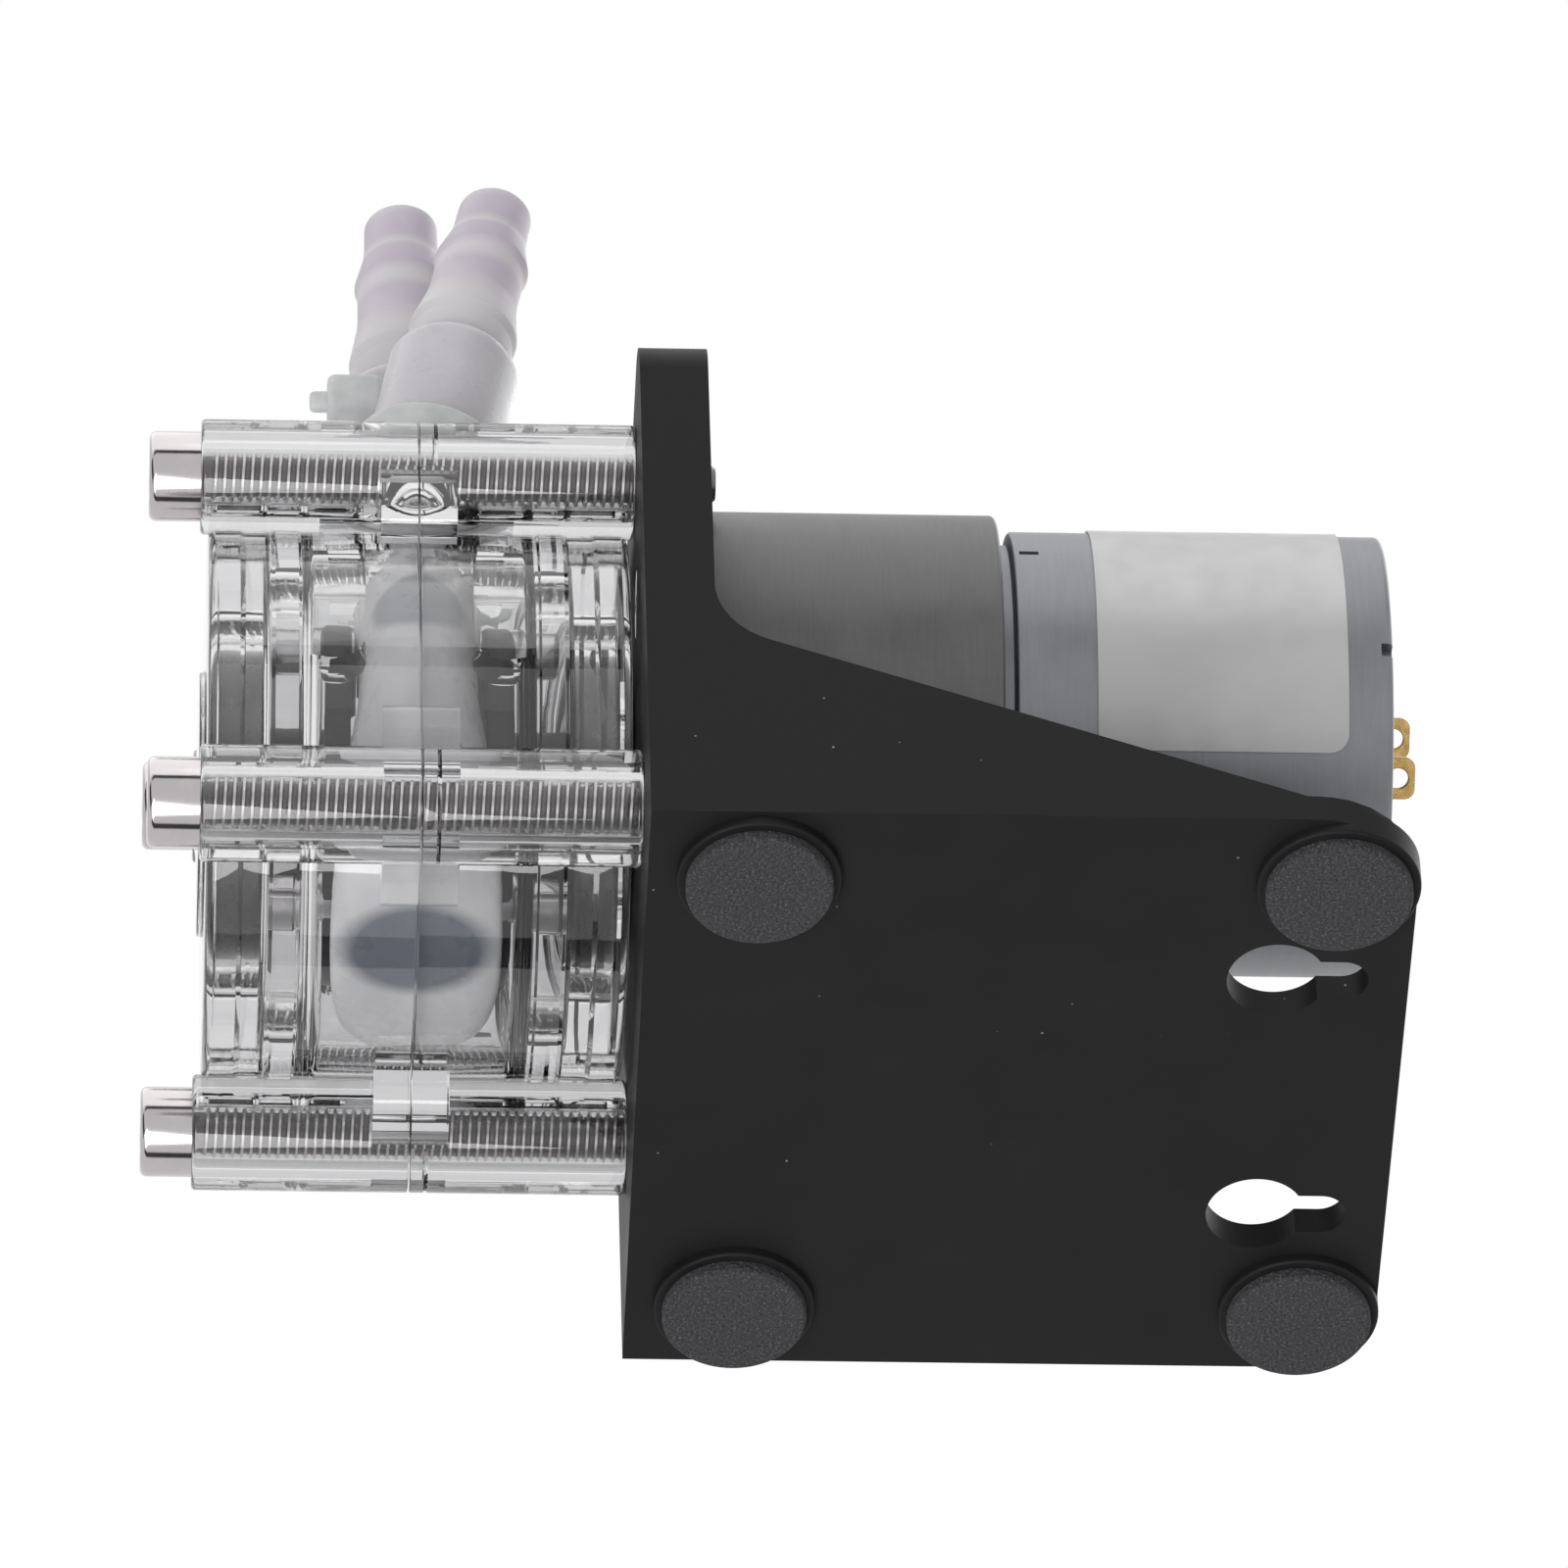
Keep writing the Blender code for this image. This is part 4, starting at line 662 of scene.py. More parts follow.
joiner_plastic = milky("joiner_polypropylene", (0.60, 0.525, 0.625), (0.68, 0.625, 0.70), 0.4, 1.6, 7.0)
tree = joiner_plastic.node_tree
shader = tree.nodes["Principled BSDF"]
parts = node(tree, "ShaderNodeSeparateXYZ")
tree.links.new(place_of(tree), parts.inputs["Vector"])
height = node(tree, "ShaderNodeMapRange")
height.inputs["From Max"].default_value = 20.0 * MM
tree.links.new(parts.outputs["Y"], height.inputs["Value"])
# Painted highlights: whiter bands along the joiner's length, at its shoulders and barbs.
painted_highlight_share = ramp(
    tree,
    height.outputs["Result"],
    (0.28, 0.85),
    (0.40, 0.1),
    (0.50, 0.1),
    (0.55, 0.8),
    (0.59, 0.8),
    (0.64, 0.0),
    (0.74, 0.1),
    (0.775, 0.75),
    (0.82, 0.1),
    (0.93, 0.0),
    (1.0, 0.7),
)
mauve = shader.inputs["Base Color"].links[0].from_socket
tree.links.new(mixed(tree, painted_highlight_share, mauve, (0.77, 0.755, 0.77)), shader.inputs["Base Color"])

label_film, tree, shader = finish("blank_label_film", (0.53, 0.53, 0.535), 0.42)
shader.inputs["Metallic"].default_value = 0.35
where = place_of(tree)
tone = ramp(tree, noise(tree, where, 9.0), (0.3, (0.50, 0.50, 0.505)), (0.7, (0.56, 0.56, 0.565)))
tree.links.new(tone, shader.inputs["Base Color"])
tree.links.new(ramp(tree, noise(tree, where, 2.5), (0.3, 0.36), (0.7, 0.5)), shader.inputs["Roughness"])
relief(tree, shader, noise(tree, where, 0.7), 0.006, 0.3)
print("silicone, nylon, joiner plastic and label film")

# %% [markdown]
# ## Bracket
# One black moulding: a flat base, an upright plate and two sloping gussets. It is the side outline made
# wide, kept inside its front and plan outlines and opened between the gussets, as the mould would be.
# The same booleans as in CAD, with finer rounds, and then every hard edge gets a small round.

# %% Bracket
WIDTH = 60.0
HALF_WIDTH = WIDTH / 2
PLATE_FRONT = -12.1
PLATE_REAR = -6.8
BASE_REAR = 46.2
BASE_LOW = 2.0
BASE_TOP = 4.5
PLATE_TOP = 56.2
AXIS_Z = 32.3
GUSSET_TOP = 22.3
GUSSET_REAR = 37.5
GUSSET = 3.0
ROUND = 8

side_outline = eased(
    (
        (PLATE_FRONT, BASE_LOW),
        (BASE_REAR, BASE_LOW),
        (BASE_REAR, BASE_TOP),
        (GUSSET_REAR, BASE_TOP),
        (PLATE_REAR, GUSSET_TOP, 6.5),
        (PLATE_REAR, PLATE_TOP, 1.5),
        (PLATE_FRONT, PLATE_TOP),
    ),
    ROUND,
    True,
)
front_outline = eased(
    ((-HALF_WIDTH, -9.0), (HALF_WIDTH, -9.0), (HALF_WIDTH, PLATE_TOP, 5.5), (-HALF_WIDTH, PLATE_TOP, 5.5)), ROUND, True
)
plan_outline = eased(
    (
        (-HALF_WIDTH, PLATE_FRONT),
        (HALF_WIDTH, PLATE_FRONT),
        (HALF_WIDTH, BASE_REAR, 8.0),
        (-HALF_WIDTH, BASE_REAR, 8.0),
    ),
    ROUND,
    True,
)
bracket = slab("bracket_moulding", black_plastic, side_outline, -HALF_WIDTH, HALF_WIDTH, "X")
channel = block("channel", None, (-27.0, -6.65, BASE_TOP), (27.0, 90.0, 90.0))
shaped(
    bracket,
    ("&", slab("front_form", None, front_outline, -60.0, 90.0, "Y")),
    ("&", slab("plan_form", None, plan_outline, -20.0, 90.0, "Z")),
    ("-", channel),
)

FOOT_X = 23.4
FOOT_Y = (-3.7, 40.1)
KEYHOLE_X = 12.8
KEYHOLE_Y = 36.1
UPRIGHT = Matrix.Rotation(math.pi / 2, 4, "X")
steps = []
for y in FOOT_Y:
    for x in (-FOOT_X, FOOT_X):
        boss = turned("foot_boss", None, ((0.0, 1.5), (6.25, 1.5), (6.25, -0.9, 0.25), (0.0, -0.9)), MEDIUM)
        boss.matrix_world = Matrix.Translation(mm(x, y, BASE_LOW)) @ UPRIGHT
        steps.append(("+", boss))
for x in (-KEYHOLE_X, KEYHOLE_X):
    entry = turned("keyhole_entry", None, ((0.0, 6.0), (3.8, 6.0), (3.8, -6.0), (0.0, -6.0)), MEDIUM)
    entry.matrix_world = Matrix.Translation(mm(x, KEYHOLE_Y, BASE_LOW)) @ UPRIGHT
    steps.append(("-", entry))
    slot_outline = eased(
        (
            (x - 2.0, KEYHOLE_Y),
            (x + 2.0, KEYHOLE_Y),
            (x + 2.0, KEYHOLE_Y + 7.0, 1.96),
            (x - 2.0, KEYHOLE_Y + 7.0, 1.96),
        ),
        10,
        True,
    )
    steps.append(("-", slab("keyhole_slot", None, slot_outline, -5.0, 9.0, "Z")))
shaped(bracket, *steps)

BOSS_OFFSET = 18.0
CORNERS = {
    "top_right": (BOSS_OFFSET, BOSS_OFFSET),
    "top_left": (-BOSS_OFFSET, BOSS_OFFSET),
    "bottom_right": (BOSS_OFFSET, -BOSS_OFFSET),
    "bottom_left": (-BOSS_OFFSET, -BOSS_OFFSET),
}
MOTOR_AXIS_Z = 39.3
MOTOR_SCREWS = {1: 0.0, 2: 180.0, 3: 240.0, 4: 300.0}
MOTOR_SCREW_CIRCLE = 15.5
NUT_ROUND = 4.0415
steps = []
for x, z in CORNERS.values():
    hole = turned("screw_way", None, ((0.0, 0.0), (2.2, 0.0), (2.2, -30.0), (0.0, -30.0)), SMALL)
    hole.matrix_world = Matrix.Translation(mm(x, 0.0, AXIS_Z + z))
    steps.append(("-", hole))
    pocket = turned("nut_way", None, ((0.0, -2.0), (NUT_ROUND + 0.15, -2.0), (NUT_ROUND + 0.15, -10.0), (0.0, -10.0)), 6)
    pocket.matrix_world = Matrix.Translation(mm(x, 0.0, AXIS_Z + z))
    steps.append(("-", pocket))
neck_way = turned("neck_way", None, ((0.0, 0.0), (6.3, 0.0), (6.3, -30.0), (0.0, -30.0)), MEDIUM)
neck_way.matrix_world = Matrix.Translation(mm(0.0, 0.0, AXIS_Z))
steps.append(("-", neck_way))
screw_places = {}
for k, degrees in MOTOR_SCREWS.items():
    angle = math.radians(degrees)
    x = MOTOR_SCREW_CIRCLE * math.cos(angle)
    z = MOTOR_AXIS_Z + MOTOR_SCREW_CIRCLE * math.sin(angle)
    screw_places[k] = mm(x, PLATE_FRONT, z)
    sink = ((0.0, 9.0), (1.62, 9.0), (1.62, 1.48), (3.1, 0.0), (3.1, -2.8), (0.0, -2.8))
    steps.append(("-", turned("motor_screw_way", None, sink, SMALL, place=screw_places[k])))
shaped(bracket, *steps)
round_edges(bracket, 0.35)
fitted(bracket, "pump", "black_plastic", "bracket")
print("bracket:", len(bracket.data.polygons), "faces")

# %% [markdown]
# ## Foam feet
# Each foot is a disc of foam, stuck on a boss and cut a little smaller than it. Its rim is soft and its
# face is not quite flat: a seeded wave over a fine grid of rings makes the dents that show in raking light.

# %% Foam feet
PAD_RADIUS = 5.6
PAD_THICKNESS = 1.1


def foam_pad(name, x, y):
    """A foam disc with a dented face, standing on the ground."""
    shape = bmesh.new()
    profile = eased(((0.0, PAD_THICKNESS), (PAD_RADIUS, PAD_THICKNESS, 0.12), (PAD_RADIUS, 0.0, 0.35), (0.0, 0.0)), 5)
    fine = []
    for first, second in zip(profile, profile[1:]):
        count = max(1, int((second - first).length / 0.3))
        fine.extend(first.lerp(second, k / count) for k in range(count))
    fine.append(profile[-1])
    rings = []
    for radius, height in fine:
        ring = []
        for k in range(1 if radius < 0.0001 else FINE):
            angle = 2 * math.pi * k / FINE
            u = radius * math.cos(angle)
            v = radius * math.sin(angle)
            dent = math.sin(5.1 * u + x) * math.sin(4.7 * v + y) + 0.6 * math.sin(11.3 * u - 9.1 * v)
            lift = 0.02 * abs(dent) if height < 0.01 else 0.0
            ring.append(shape.verts.new(mm(x + u, y + v, height + lift)))
        rings.append(ring)
    for first, second in zip(rings, rings[1:]):
        for k in range(FINE):
            n = k + 1
            corners = (first[k % len(first)], first[n % len(first)], second[n % len(second)], second[k % len(second)])
            shape.faces.new(list(dict.fromkeys(corners)))
    return as_piece(name, shape, foam)


for row, y in zip(("front", "rear"), FOOT_Y):
    for hand, x in (("left", -FOOT_X), ("right", FOOT_X)):
        pad = foam_pad(f"foam_foot_{row}_{hand}", x, y)
        fitted(pad, "pump", "foam_pad", f"foot_pad_{row}_{hand}")
print("4 foam feet")

# %% [markdown]
# ## Clear head
# Two clear mouldings meet at a seam round the middle of the rotor. Each is turned from its section: the
# outer drum, the steps that hold the bearings and clear the axles, and the rotor's room. The raceway,
# where the tube is pressed, is cut only in the lower part; above it the tube runs out through solid
# plastic, whose curved holes act as mirrors. Bosses for the long screws stand at the corners, with small
# alignment tabs beside them at the seam.

# %% Clear head
SEAM_Y = -28.95
HEAD_FRONT = -45.8
BODY_RADIUS = 21.4
BOSS_RADIUS = 4.5
SEAM_GAP = 0.05
TUBE_RADIUS = 4.8
TUBE_ARC = 14.1
KNEE = Vector((7.3, 0.0, 24.5))
LEAVE = math.atan2(KNEE.z, KNEE.x) - math.acos(TUBE_ARC / math.hypot(KNEE.x, KNEE.z))
LEAVE_POINT = TUBE_ARC * Vector((math.cos(LEAVE), 0.0, math.sin(LEAVE)))
LEG = Vector((-math.sin(LEAVE), 0.0, math.cos(LEAVE)))
HEAD_AXIS = mm(0.0, SEAM_Y, AXIS_Z)
TAB_WIDTH = 5.9
PLUG_NEAR = 4.2
PLUG_FAR = 9.0
PLUG_LOW = -3.4
SLOT_TOP = 9.0


def mirrored_x(vector):
    """A vector seen in a mirror at X = 0."""
    return Vector((-vector.x, vector.y, vector.z))


def drum_section(towards, closed_end):
    """The section of a half from its seam outwards, as (radius, along)."""
    centre = 0.0 if closed_end else 6.3
    section = (
        (BODY_RADIUS, SEAM_GAP, 0.15),
        (BODY_RADIUS - 0.1, 9.1, 0.1),
        (BODY_RADIUS, 9.3, 0.1),
        (BODY_RADIUS, 11.1, 0.1),
        (BODY_RADIUS - 0.12, 11.4, 0.1),
        (BODY_RADIUS - 0.12, 13.4, 0.1),
        (BODY_RADIUS, 13.8, 0.1),
        (BODY_RADIUS, 16.25, 0.7),
        (10.3, 16.25, 0.2),
        (10.3, 16.75, 0.25),
        (centre, 16.75),
        (centre, 15.35),
        (12.05, 15.35, 0.25),
        (12.05, 11.7, 0.3),
        (15.0, 11.7, 0.4),
        (15.0, 8.7, 0.4),
        (16.5, 8.7, 0.6),
        (16.5, SEAM_GAP),
    )
    return [(corner[0], corner[1] * towards, *corner[2:]) for corner in section]


def raceway_cut():
    """The lower part of the raceway. Round-ended plugs of plastic stand beside the tube at its top."""
    cut = turned("raceway", None, ((0.0, 8.5), (19.0, 8.5, 1.3), (19.0, -8.5, 1.3), (0.0, -8.5)), FINE, place=HEAD_AXIS)
    kept = [("-", block("over_raceway", None, (-40.0, -60.0, AXIS_Z + SLOT_TOP), (40.0, 0.0, 99.0)))]
    for towards in (-1.0, 1.0):
        sides = sorted((SEAM_Y + PLUG_NEAR * towards, SEAM_Y + PLUG_FAR * towards))
        low = AXIS_Z + PLUG_LOW
        corners = ((sides[0], low, 2.2), (sides[1], low, 2.2), (sides[1], 99.0), (sides[0], 99.0))
        kept.append(("-", slab("plug", None, eased(corners, 10, True), -40.0, 40.0, "X")))
    return shaped(cut, *kept)


def tube_way(hand):
    """The straight hole that the tube leaves by."""
    leg = LEG if hand == "right" else mirrored_x(LEG)
    start = LEAVE_POINT if hand == "right" else mirrored_x(LEAVE_POINT)
    way = turned(f"tube_way_{hand}", None, ((0.0, 0.3), (4.93, 0.3), (4.93, 40.0), (0.0, 40.0)), MEDIUM)
    lie = Vector((0.0, 1.0, 0.0)).rotation_difference(leg).to_matrix().to_4x4()
    way.matrix_world = Matrix.Translation(HEAD_AXIS + start * MM) @ lie
    return way


def seam_tab(sign_x, sign_z, swap, near, far):
    """A small square tab beside a boss at the seam."""
    corners = []
    toe = 1.3 if sign_z > 0 else 2.2
    for out, side, ease in ((21.9, 15.6, 0.15), (21.9, 9.8, toe), (18.6, 9.8, 0.15), (14.6, 16.4, 0.15)):
        x, z = (side, out) if swap else (out, side)
        corners.append((sign_x * x, AXIS_Z + sign_z * z, ease))
    return slab("seam_tab", None, eased(corners, 6, True), near, far, "Y")


def bossed(half, towards):
    """Adds bosses, outlet block and tabs, then cuts the ways of tube, rollers and screws."""
    far = HEAD_FRONT if towards < 0 else PLATE_FRONT - 0.05
    near = SEAM_Y + SEAM_GAP * towards
    steps = []
    for x, z in CORNERS.values():
        length = abs(far - near)
        profile = [(0.0, 0.0), (BOSS_RADIUS, 0.0, 0.12)]
        if towards > 0:
            profile += [(BOSS_RADIUS, 1.1), (BOSS_RADIUS - 0.18, 1.25), (BOSS_RADIUS, 1.4)]
        profile += [(BOSS_RADIUS, length * towards, 0.35), (0.0, length * towards)]
        boss = turned("boss", None, profile, MEDIUM, place=mm(x, near + 0.01 * towards, AXIS_Z + z))
        steps.append(("+", boss))
    low = min(near + 0.02 * towards, SEAM_Y + 7.5 * towards)
    high = max(near + 0.02 * towards, SEAM_Y + 7.5 * towards)
    outlet = eased(((-16.5, AXIS_Z + 17.3), (16.5, AXIS_Z + 17.3), (16.5, AXIS_Z + 21.6, 0.8), (-16.5, AXIS_Z + 21.6, 0.8)), 5, True)
    steps.append(("+", slab("outlet_block", None, outlet, low, high, "Y")))
    for sx in (-1, 1):
        for sz in (-1, 1):
            for swap in (False, True):
                steps.append(("+", seam_tab(sx, sz, swap, near + 0.03 * towards, SEAM_Y + TAB_WIDTH / 2 * towards)))
    shaped(half, *steps)
    cuts = [("-", raceway_cut()), ("-", tube_way("right")), ("-", tube_way("left"))]
    for x, z in CORNERS.values():
        bore = turned("screw_bore", None, ((0.0, 5.0), (2.2, 5.0), (2.2, -60.0), (0.0, -60.0)), SMALL)
        bore.matrix_world = Matrix.Translation(mm(x, 0.0, AXIS_Z + z))
        cuts.append(("-", bore))
    return shaped(half, *cuts)


for name, towards, closed in (("head_front_half", -1.0, True), ("head_rear_half", 1.0, False)):
    half = turned(f"clear_{name}", clear_plastic, drum_section(towards, closed), FINE, loop=True, place=HEAD_AXIS)
    bossed(half, towards)
    fitted(half, "pump", "clear_polycarbonate", name)
    print(half.name, len(half.data.polygons), "faces")

# %% [markdown]
# ## Screws and nuts
# Four long M4 socket screws clamp the head to the bracket. Their threads show through the clear bosses,
# so they are real: a ridge is swept along a helix round the core. The heads are turned and get a hex
# socket. The nuts sit in pockets in the plate, with the chamfers that a nut has.

# %% Screws and nuts
PITCH = 0.7
THREAD_CREST = 1.98
THREAD_ROOT = 1.56
THREAD_STEPS = 24


def helix_ridge(name, look, start, end):
    """A thread's ridge as a closed sweep from start to end along Y, in millimetres."""
    shape = bmesh.new()
    rows = []
    count = int((end - start) / PITCH * THREAD_STEPS)
    for i in range(count + 1):
        angle = 2 * math.pi * i / THREAD_STEPS
        y = start + PITCH * i / THREAD_STEPS
        fade = min(1.0, i / THREAD_STEPS, (count - i) / THREAD_STEPS)
        crest = THREAD_ROOT + (THREAD_CREST - THREAD_ROOT) * fade
        row = []
        for radius, step in ((THREAD_ROOT - 0.1, -0.42), (crest, -0.13), (crest, 0.13), (THREAD_ROOT - 0.1, 0.42)):
            spot = mm(radius * math.cos(angle), y + step * PITCH, radius * math.sin(angle))
            row.append(shape.verts.new(spot))
        rows.append(row)
    for first, second in zip(rows, rows[1:]):
        for k in range(4):
            n = (k + 1) % 4
            shape.faces.new((first[k], second[k], second[n], first[n]))
    shape.faces.new(list(reversed(rows[0])))
    shape.faces.new(rows[-1])
    return as_piece(name, shape, look, math.radians(20.0))


def hex_points(flats):
    """The corners of a hexagon of a width across flats."""
    radius = flats / math.sqrt(3)
    return [(radius * math.cos(k * math.pi / 3), radius * math.sin(k * math.pi / 3)) for k in range(6)]


screw_profile = (
    (0.0, 40.0),
    (1.25, 40.0),
    (1.56, 39.6),
    (1.56, 0.0),
    (3.5, 0.0),
    (3.5, -4.0, 0.55),
    (0.0, -4.0),
)
first_screw = turned("screw", thread_plating, screw_profile, MEDIUM)
socket = slab("socket", None, hex_points(3.0), -9.0, -2.0, "Y")
lead_in = turned("lead_in", None, ((0.0, -3.6), (1.5, -3.6), (1.95, -4.05), (1.95, -9.0), (0.0, -9.0)), SMALL)
shaped(first_screw, ("-", socket), ("-", lead_in))
screw_model = joined("screw_model", [first_screw, helix_ridge("ridge", thread_plating, 0.6, 39.4)])
screw_model.data.shade_smooth()
screw_model.data.set_sharp_from_angle(angle=math.radians(24.0))

nut_model = slab("nut_model", plated, hex_points(7.0), -9.95, -6.8, "Y")
nut_form = turned("nut_form", None, ((0.0, -6.8), (3.45, -6.8), (4.3, -7.25), (4.3, -9.5), (3.45, -9.95), (0.0, -9.95)), MEDIUM)
nut_bore = turned("nut_bore", None, ((0.0, -5.0), (2.6, -6.6), (2.02, -7.3), (2.02, -12.0), (0.0, -12.0)), SMALL)
shaped(nut_model, ("&", nut_form), ("-", nut_bore))

for corner, (x, z) in CORNERS.items():
    screw = bpy.data.objects.new(f"long_screw_{corner}", screw_model.data)
    screw.matrix_world = Matrix.Translation(mm(x, HEAD_FRONT, AXIS_Z + z))
    nut = bpy.data.objects.new(f"hex_nut_{corner}", nut_model.data)
    nut.matrix_world = Matrix.Translation(mm(x, 0.0, AXIS_Z + z))
    for piece, stands_for in ((screw, f"head_screw_{corner}"), (nut, f"nut_{corner}")):
        scene.collection.objects.link(piece)
        fitted(piece, "pump", "plated_steel", stands_for)
bpy.data.objects.remove(screw_model, do_unlink=True)
bpy.data.objects.remove(nut_model, do_unlink=True)
print("4 threaded screws and 4 nuts")

# %% [markdown]
# ## Rotor, rollers and bearings
# The rotor is two black plates on one hub, with three steel axles between them and a nylon roller on
# each. Journals at both ends run in bearings. All are turned pieces with small chamfers; the bearings get
# the groove between their rings that holds the shield.

# %% Rotor, rollers and bearings
INNER = 5.3
OUTER = 7.8
JOURNAL = 15.15
ROLLERS = {1: 41.0, 2: 161.0, 3: 281.0}
PITCH_RADIUS = 12.1

carrier_profile = (
    (0.0, JOURNAL),
    (6.0, JOURNAL, 0.4),
    (6.0, OUTER, 0.5),
    (14.0, OUTER, 0.6),
    (14.0, INNER, 0.4),
    (5.5, INNER, 0.5),
    (5.5, -INNER + 0.05),
    (0.0, -INNER + 0.05),
)
plate_profile = (
    (0.0, -INNER),
    (14.0, -INNER, 0.4),
    (14.0, -OUTER, 0.6),
    (6.0, -OUTER, 0.5),
    (6.0, -JOURNAL, 0.4),
    (0.0, -JOURNAL),
)
carrier = turned("rotor_hub_and_plate", rotor_plastic, carrier_profile, MEDIUM, place=HEAD_AXIS)
plate = turned("rotor_cover_plate", rotor_plastic, plate_profile, MEDIUM, place=HEAD_AXIS)
roller_places = {}
for k, degrees in ROLLERS.items():
    angle = math.radians(degrees)
    roller_places[k] = HEAD_AXIS + mm(PITCH_RADIUS * math.cos(angle), 0.0, PITCH_RADIUS * math.sin(angle))
for piece in (carrier, plate):
    holes = []
    for spot in roller_places.values():
        pin = ((0.0, 20.0), (2.05, 20.0), (2.05, -20.0), (0.0, -20.0))
        holes.append(("-", turned("pin_hole", None, pin, SMALL, place=spot)))
    if piece is carrier:
        bore = turned("shaft_bore", None, ((0.0, 30.0), (3.1, 30.0), (3.1, 0.05), (0.0, 0.05)), SMALL, place=HEAD_AXIS)
        flat = block("shaft_flat", None, (2.6, -40.0, 0.0), (9.0, 9.0, 60.0))
        holes.append(("-", shaped(bore, ("-", flat))))
    shaped(piece, *holes)
fitted(carrier, "rotor", "black_plastic", "rotor_carrier")
fitted(plate, "rotor", "black_plastic", "rotor_front_plate")

for k, spot in roller_places.items():
    axle_profile = (
        (0.0, 11.0),
        (0.5, 11.0),
        (0.8, 11.3),
        (2.0, 11.3, 0.35),
        (2.0, 9.6),
        (1.85, 9.45),
        (1.85, 9.2),
        (2.0, 9.05),
        (2.0, -9.05),
        (1.85, -9.2),
        (1.85, -9.45),
        (2.0, -9.6),
        (2.0, -11.3, 0.35),
        (0.8, -11.3),
        (0.5, -11.0),
        (0.0, -11.0),
    )
    axle = turned(f"roller_pin_{k}", plated, axle_profile, SMALL, place=spot)
    fitted(axle, "rotor", "plated_steel", f"roller_axle_{k}")
    roller_profile = (
        (2.1, 5.1, 0.25),
        (3.6, 5.1),
        (3.85, 4.85, 0.2),
        (3.9, 0.0),
        (3.85, -4.85, 0.2),
        (3.6, -5.1),
        (2.1, -5.1, 0.25),
    )
    roller = turned(f"nylon_roller_{k}", nylon, roller_profile, MEDIUM, loop=True, place=spot)
    fitted(roller, f"roller_{k}_body", "white_nylon", f"roller_{k}")

bearing_profile = (
    (6.1, 1.7, 0.25),
    (7.6, 1.7, 0.1),
    (7.6, 1.4),
    (10.3, 1.4),
    (10.3, 1.7, 0.1),
    (12.0, 1.7, 0.35),
    (12.0, -1.7, 0.35),
    (10.3, -1.7, 0.1),
    (10.3, -1.4),
    (7.6, -1.4),
    (7.6, -1.7, 0.1),
    (6.1, -1.7, 0.25),
)
for hand, towards in (("front", -1.0), ("rear", 1.0)):
    spot = HEAD_AXIS + mm(0.0, towards * 13.6, 0.0)
    bearing = turned(f"ball_bearing_{hand}", bearing_steel, bearing_profile, MEDIUM, loop=True, place=spot)
    fitted(bearing, "pump", "bearing_steel", f"rotor_bearing_{hand}")
print("rotor with", len(ROLLERS), "rollers, and 2 bearings")

# %% [markdown]
# ## Pump tube
# The silicone tube comes down one leg, round the raceway and up the other. Where a roller presses it, it
# is flat: in the raceway it spreads sideways, and in the straight ways out it is dented inside its hole.
# A loft of sections along its middle line does both, with many more points than the CAD solid has.

# %% Pump tube
RIGHT_END = Vector((6.3, 3.4, 43.1))
LEFT_END = Vector((-5.9, -0.2, 52.0))
KNEE_LENGTH = 3.5
PRESSED_HALF = 6.7
PRESS_REACH = 11.0
SEAT_REACH = 18.0
TUBE_WALL = 1.6
END_STRETCH = 0.4
INSERT_LENGTH = 13.0
SECTION_POINTS = 48


def knee_points(corner, leg, end):
    """Points from the tube's end, round the knee, to the straight leg."""
    straight = (end - corner).normalized()
    start = corner + straight * KNEE_LENGTH
    finish_point = corner - leg * KNEE_LENGTH
    points = [end.lerp(start, k / 30) for k in range(30)]
    for k in range(13):
        t = k / 12
        points.append(start * (1 - t) ** 2 + corner * 2 * t * (1 - t) + finish_point * t**2)
    return points


left_leg = mirrored_x(LEG)
left_leave = mirrored_x(LEAVE_POINT)
right_knee = LEAVE_POINT + LEG * ((KNEE.z - LEAVE_POINT.z) / LEG.z)
left_knee = mirrored_x(right_knee)
line = knee_points(right_knee, LEG, RIGHT_END)
leg_top = line[-1]
line += [leg_top.lerp(LEAVE_POINT, k / 20) for k in range(1, 20)]
right_index = len(line)
for k in range(73):
    angle = LEAVE - k * (math.pi + 2 * LEAVE) / 72
    line.append(TUBE_ARC * Vector((math.cos(angle), 0.0, math.sin(angle))))
left_index = len(line) - 1
left_part = knee_points(left_knee, left_leg, LEFT_END)
line += [left_part[-1].lerp(left_leave, k / 20) for k in range(19, 0, -1)]
line += list(reversed(left_part))
along = [0.0]
for first, second in zip(line, line[1:]):
    along.append(along[-1] + (second - first).length)

centres = {k: (spot - HEAD_AXIS) / MM for k, spot in roller_places.items()}
reach = 3.9 + 0.1
right_out = LEAVE_POINT.normalized()
left_out = left_leave.normalized()
presses = (
    (along[right_index] - (centres[1] - LEAVE_POINT).dot(LEG), (centres[1] - LEAVE_POINT).dot(right_out) + reach, False),
    (along[left_index] + (centres[2] - left_leave).dot(left_leg), (centres[2] - left_leave).dot(left_out) + reach, False),
    (along[right_index] + (LEAVE - math.radians(281.0 - 360.0)) * TUBE_ARC, PITCH_RADIUS + reach - TUBE_ARC, True),
)


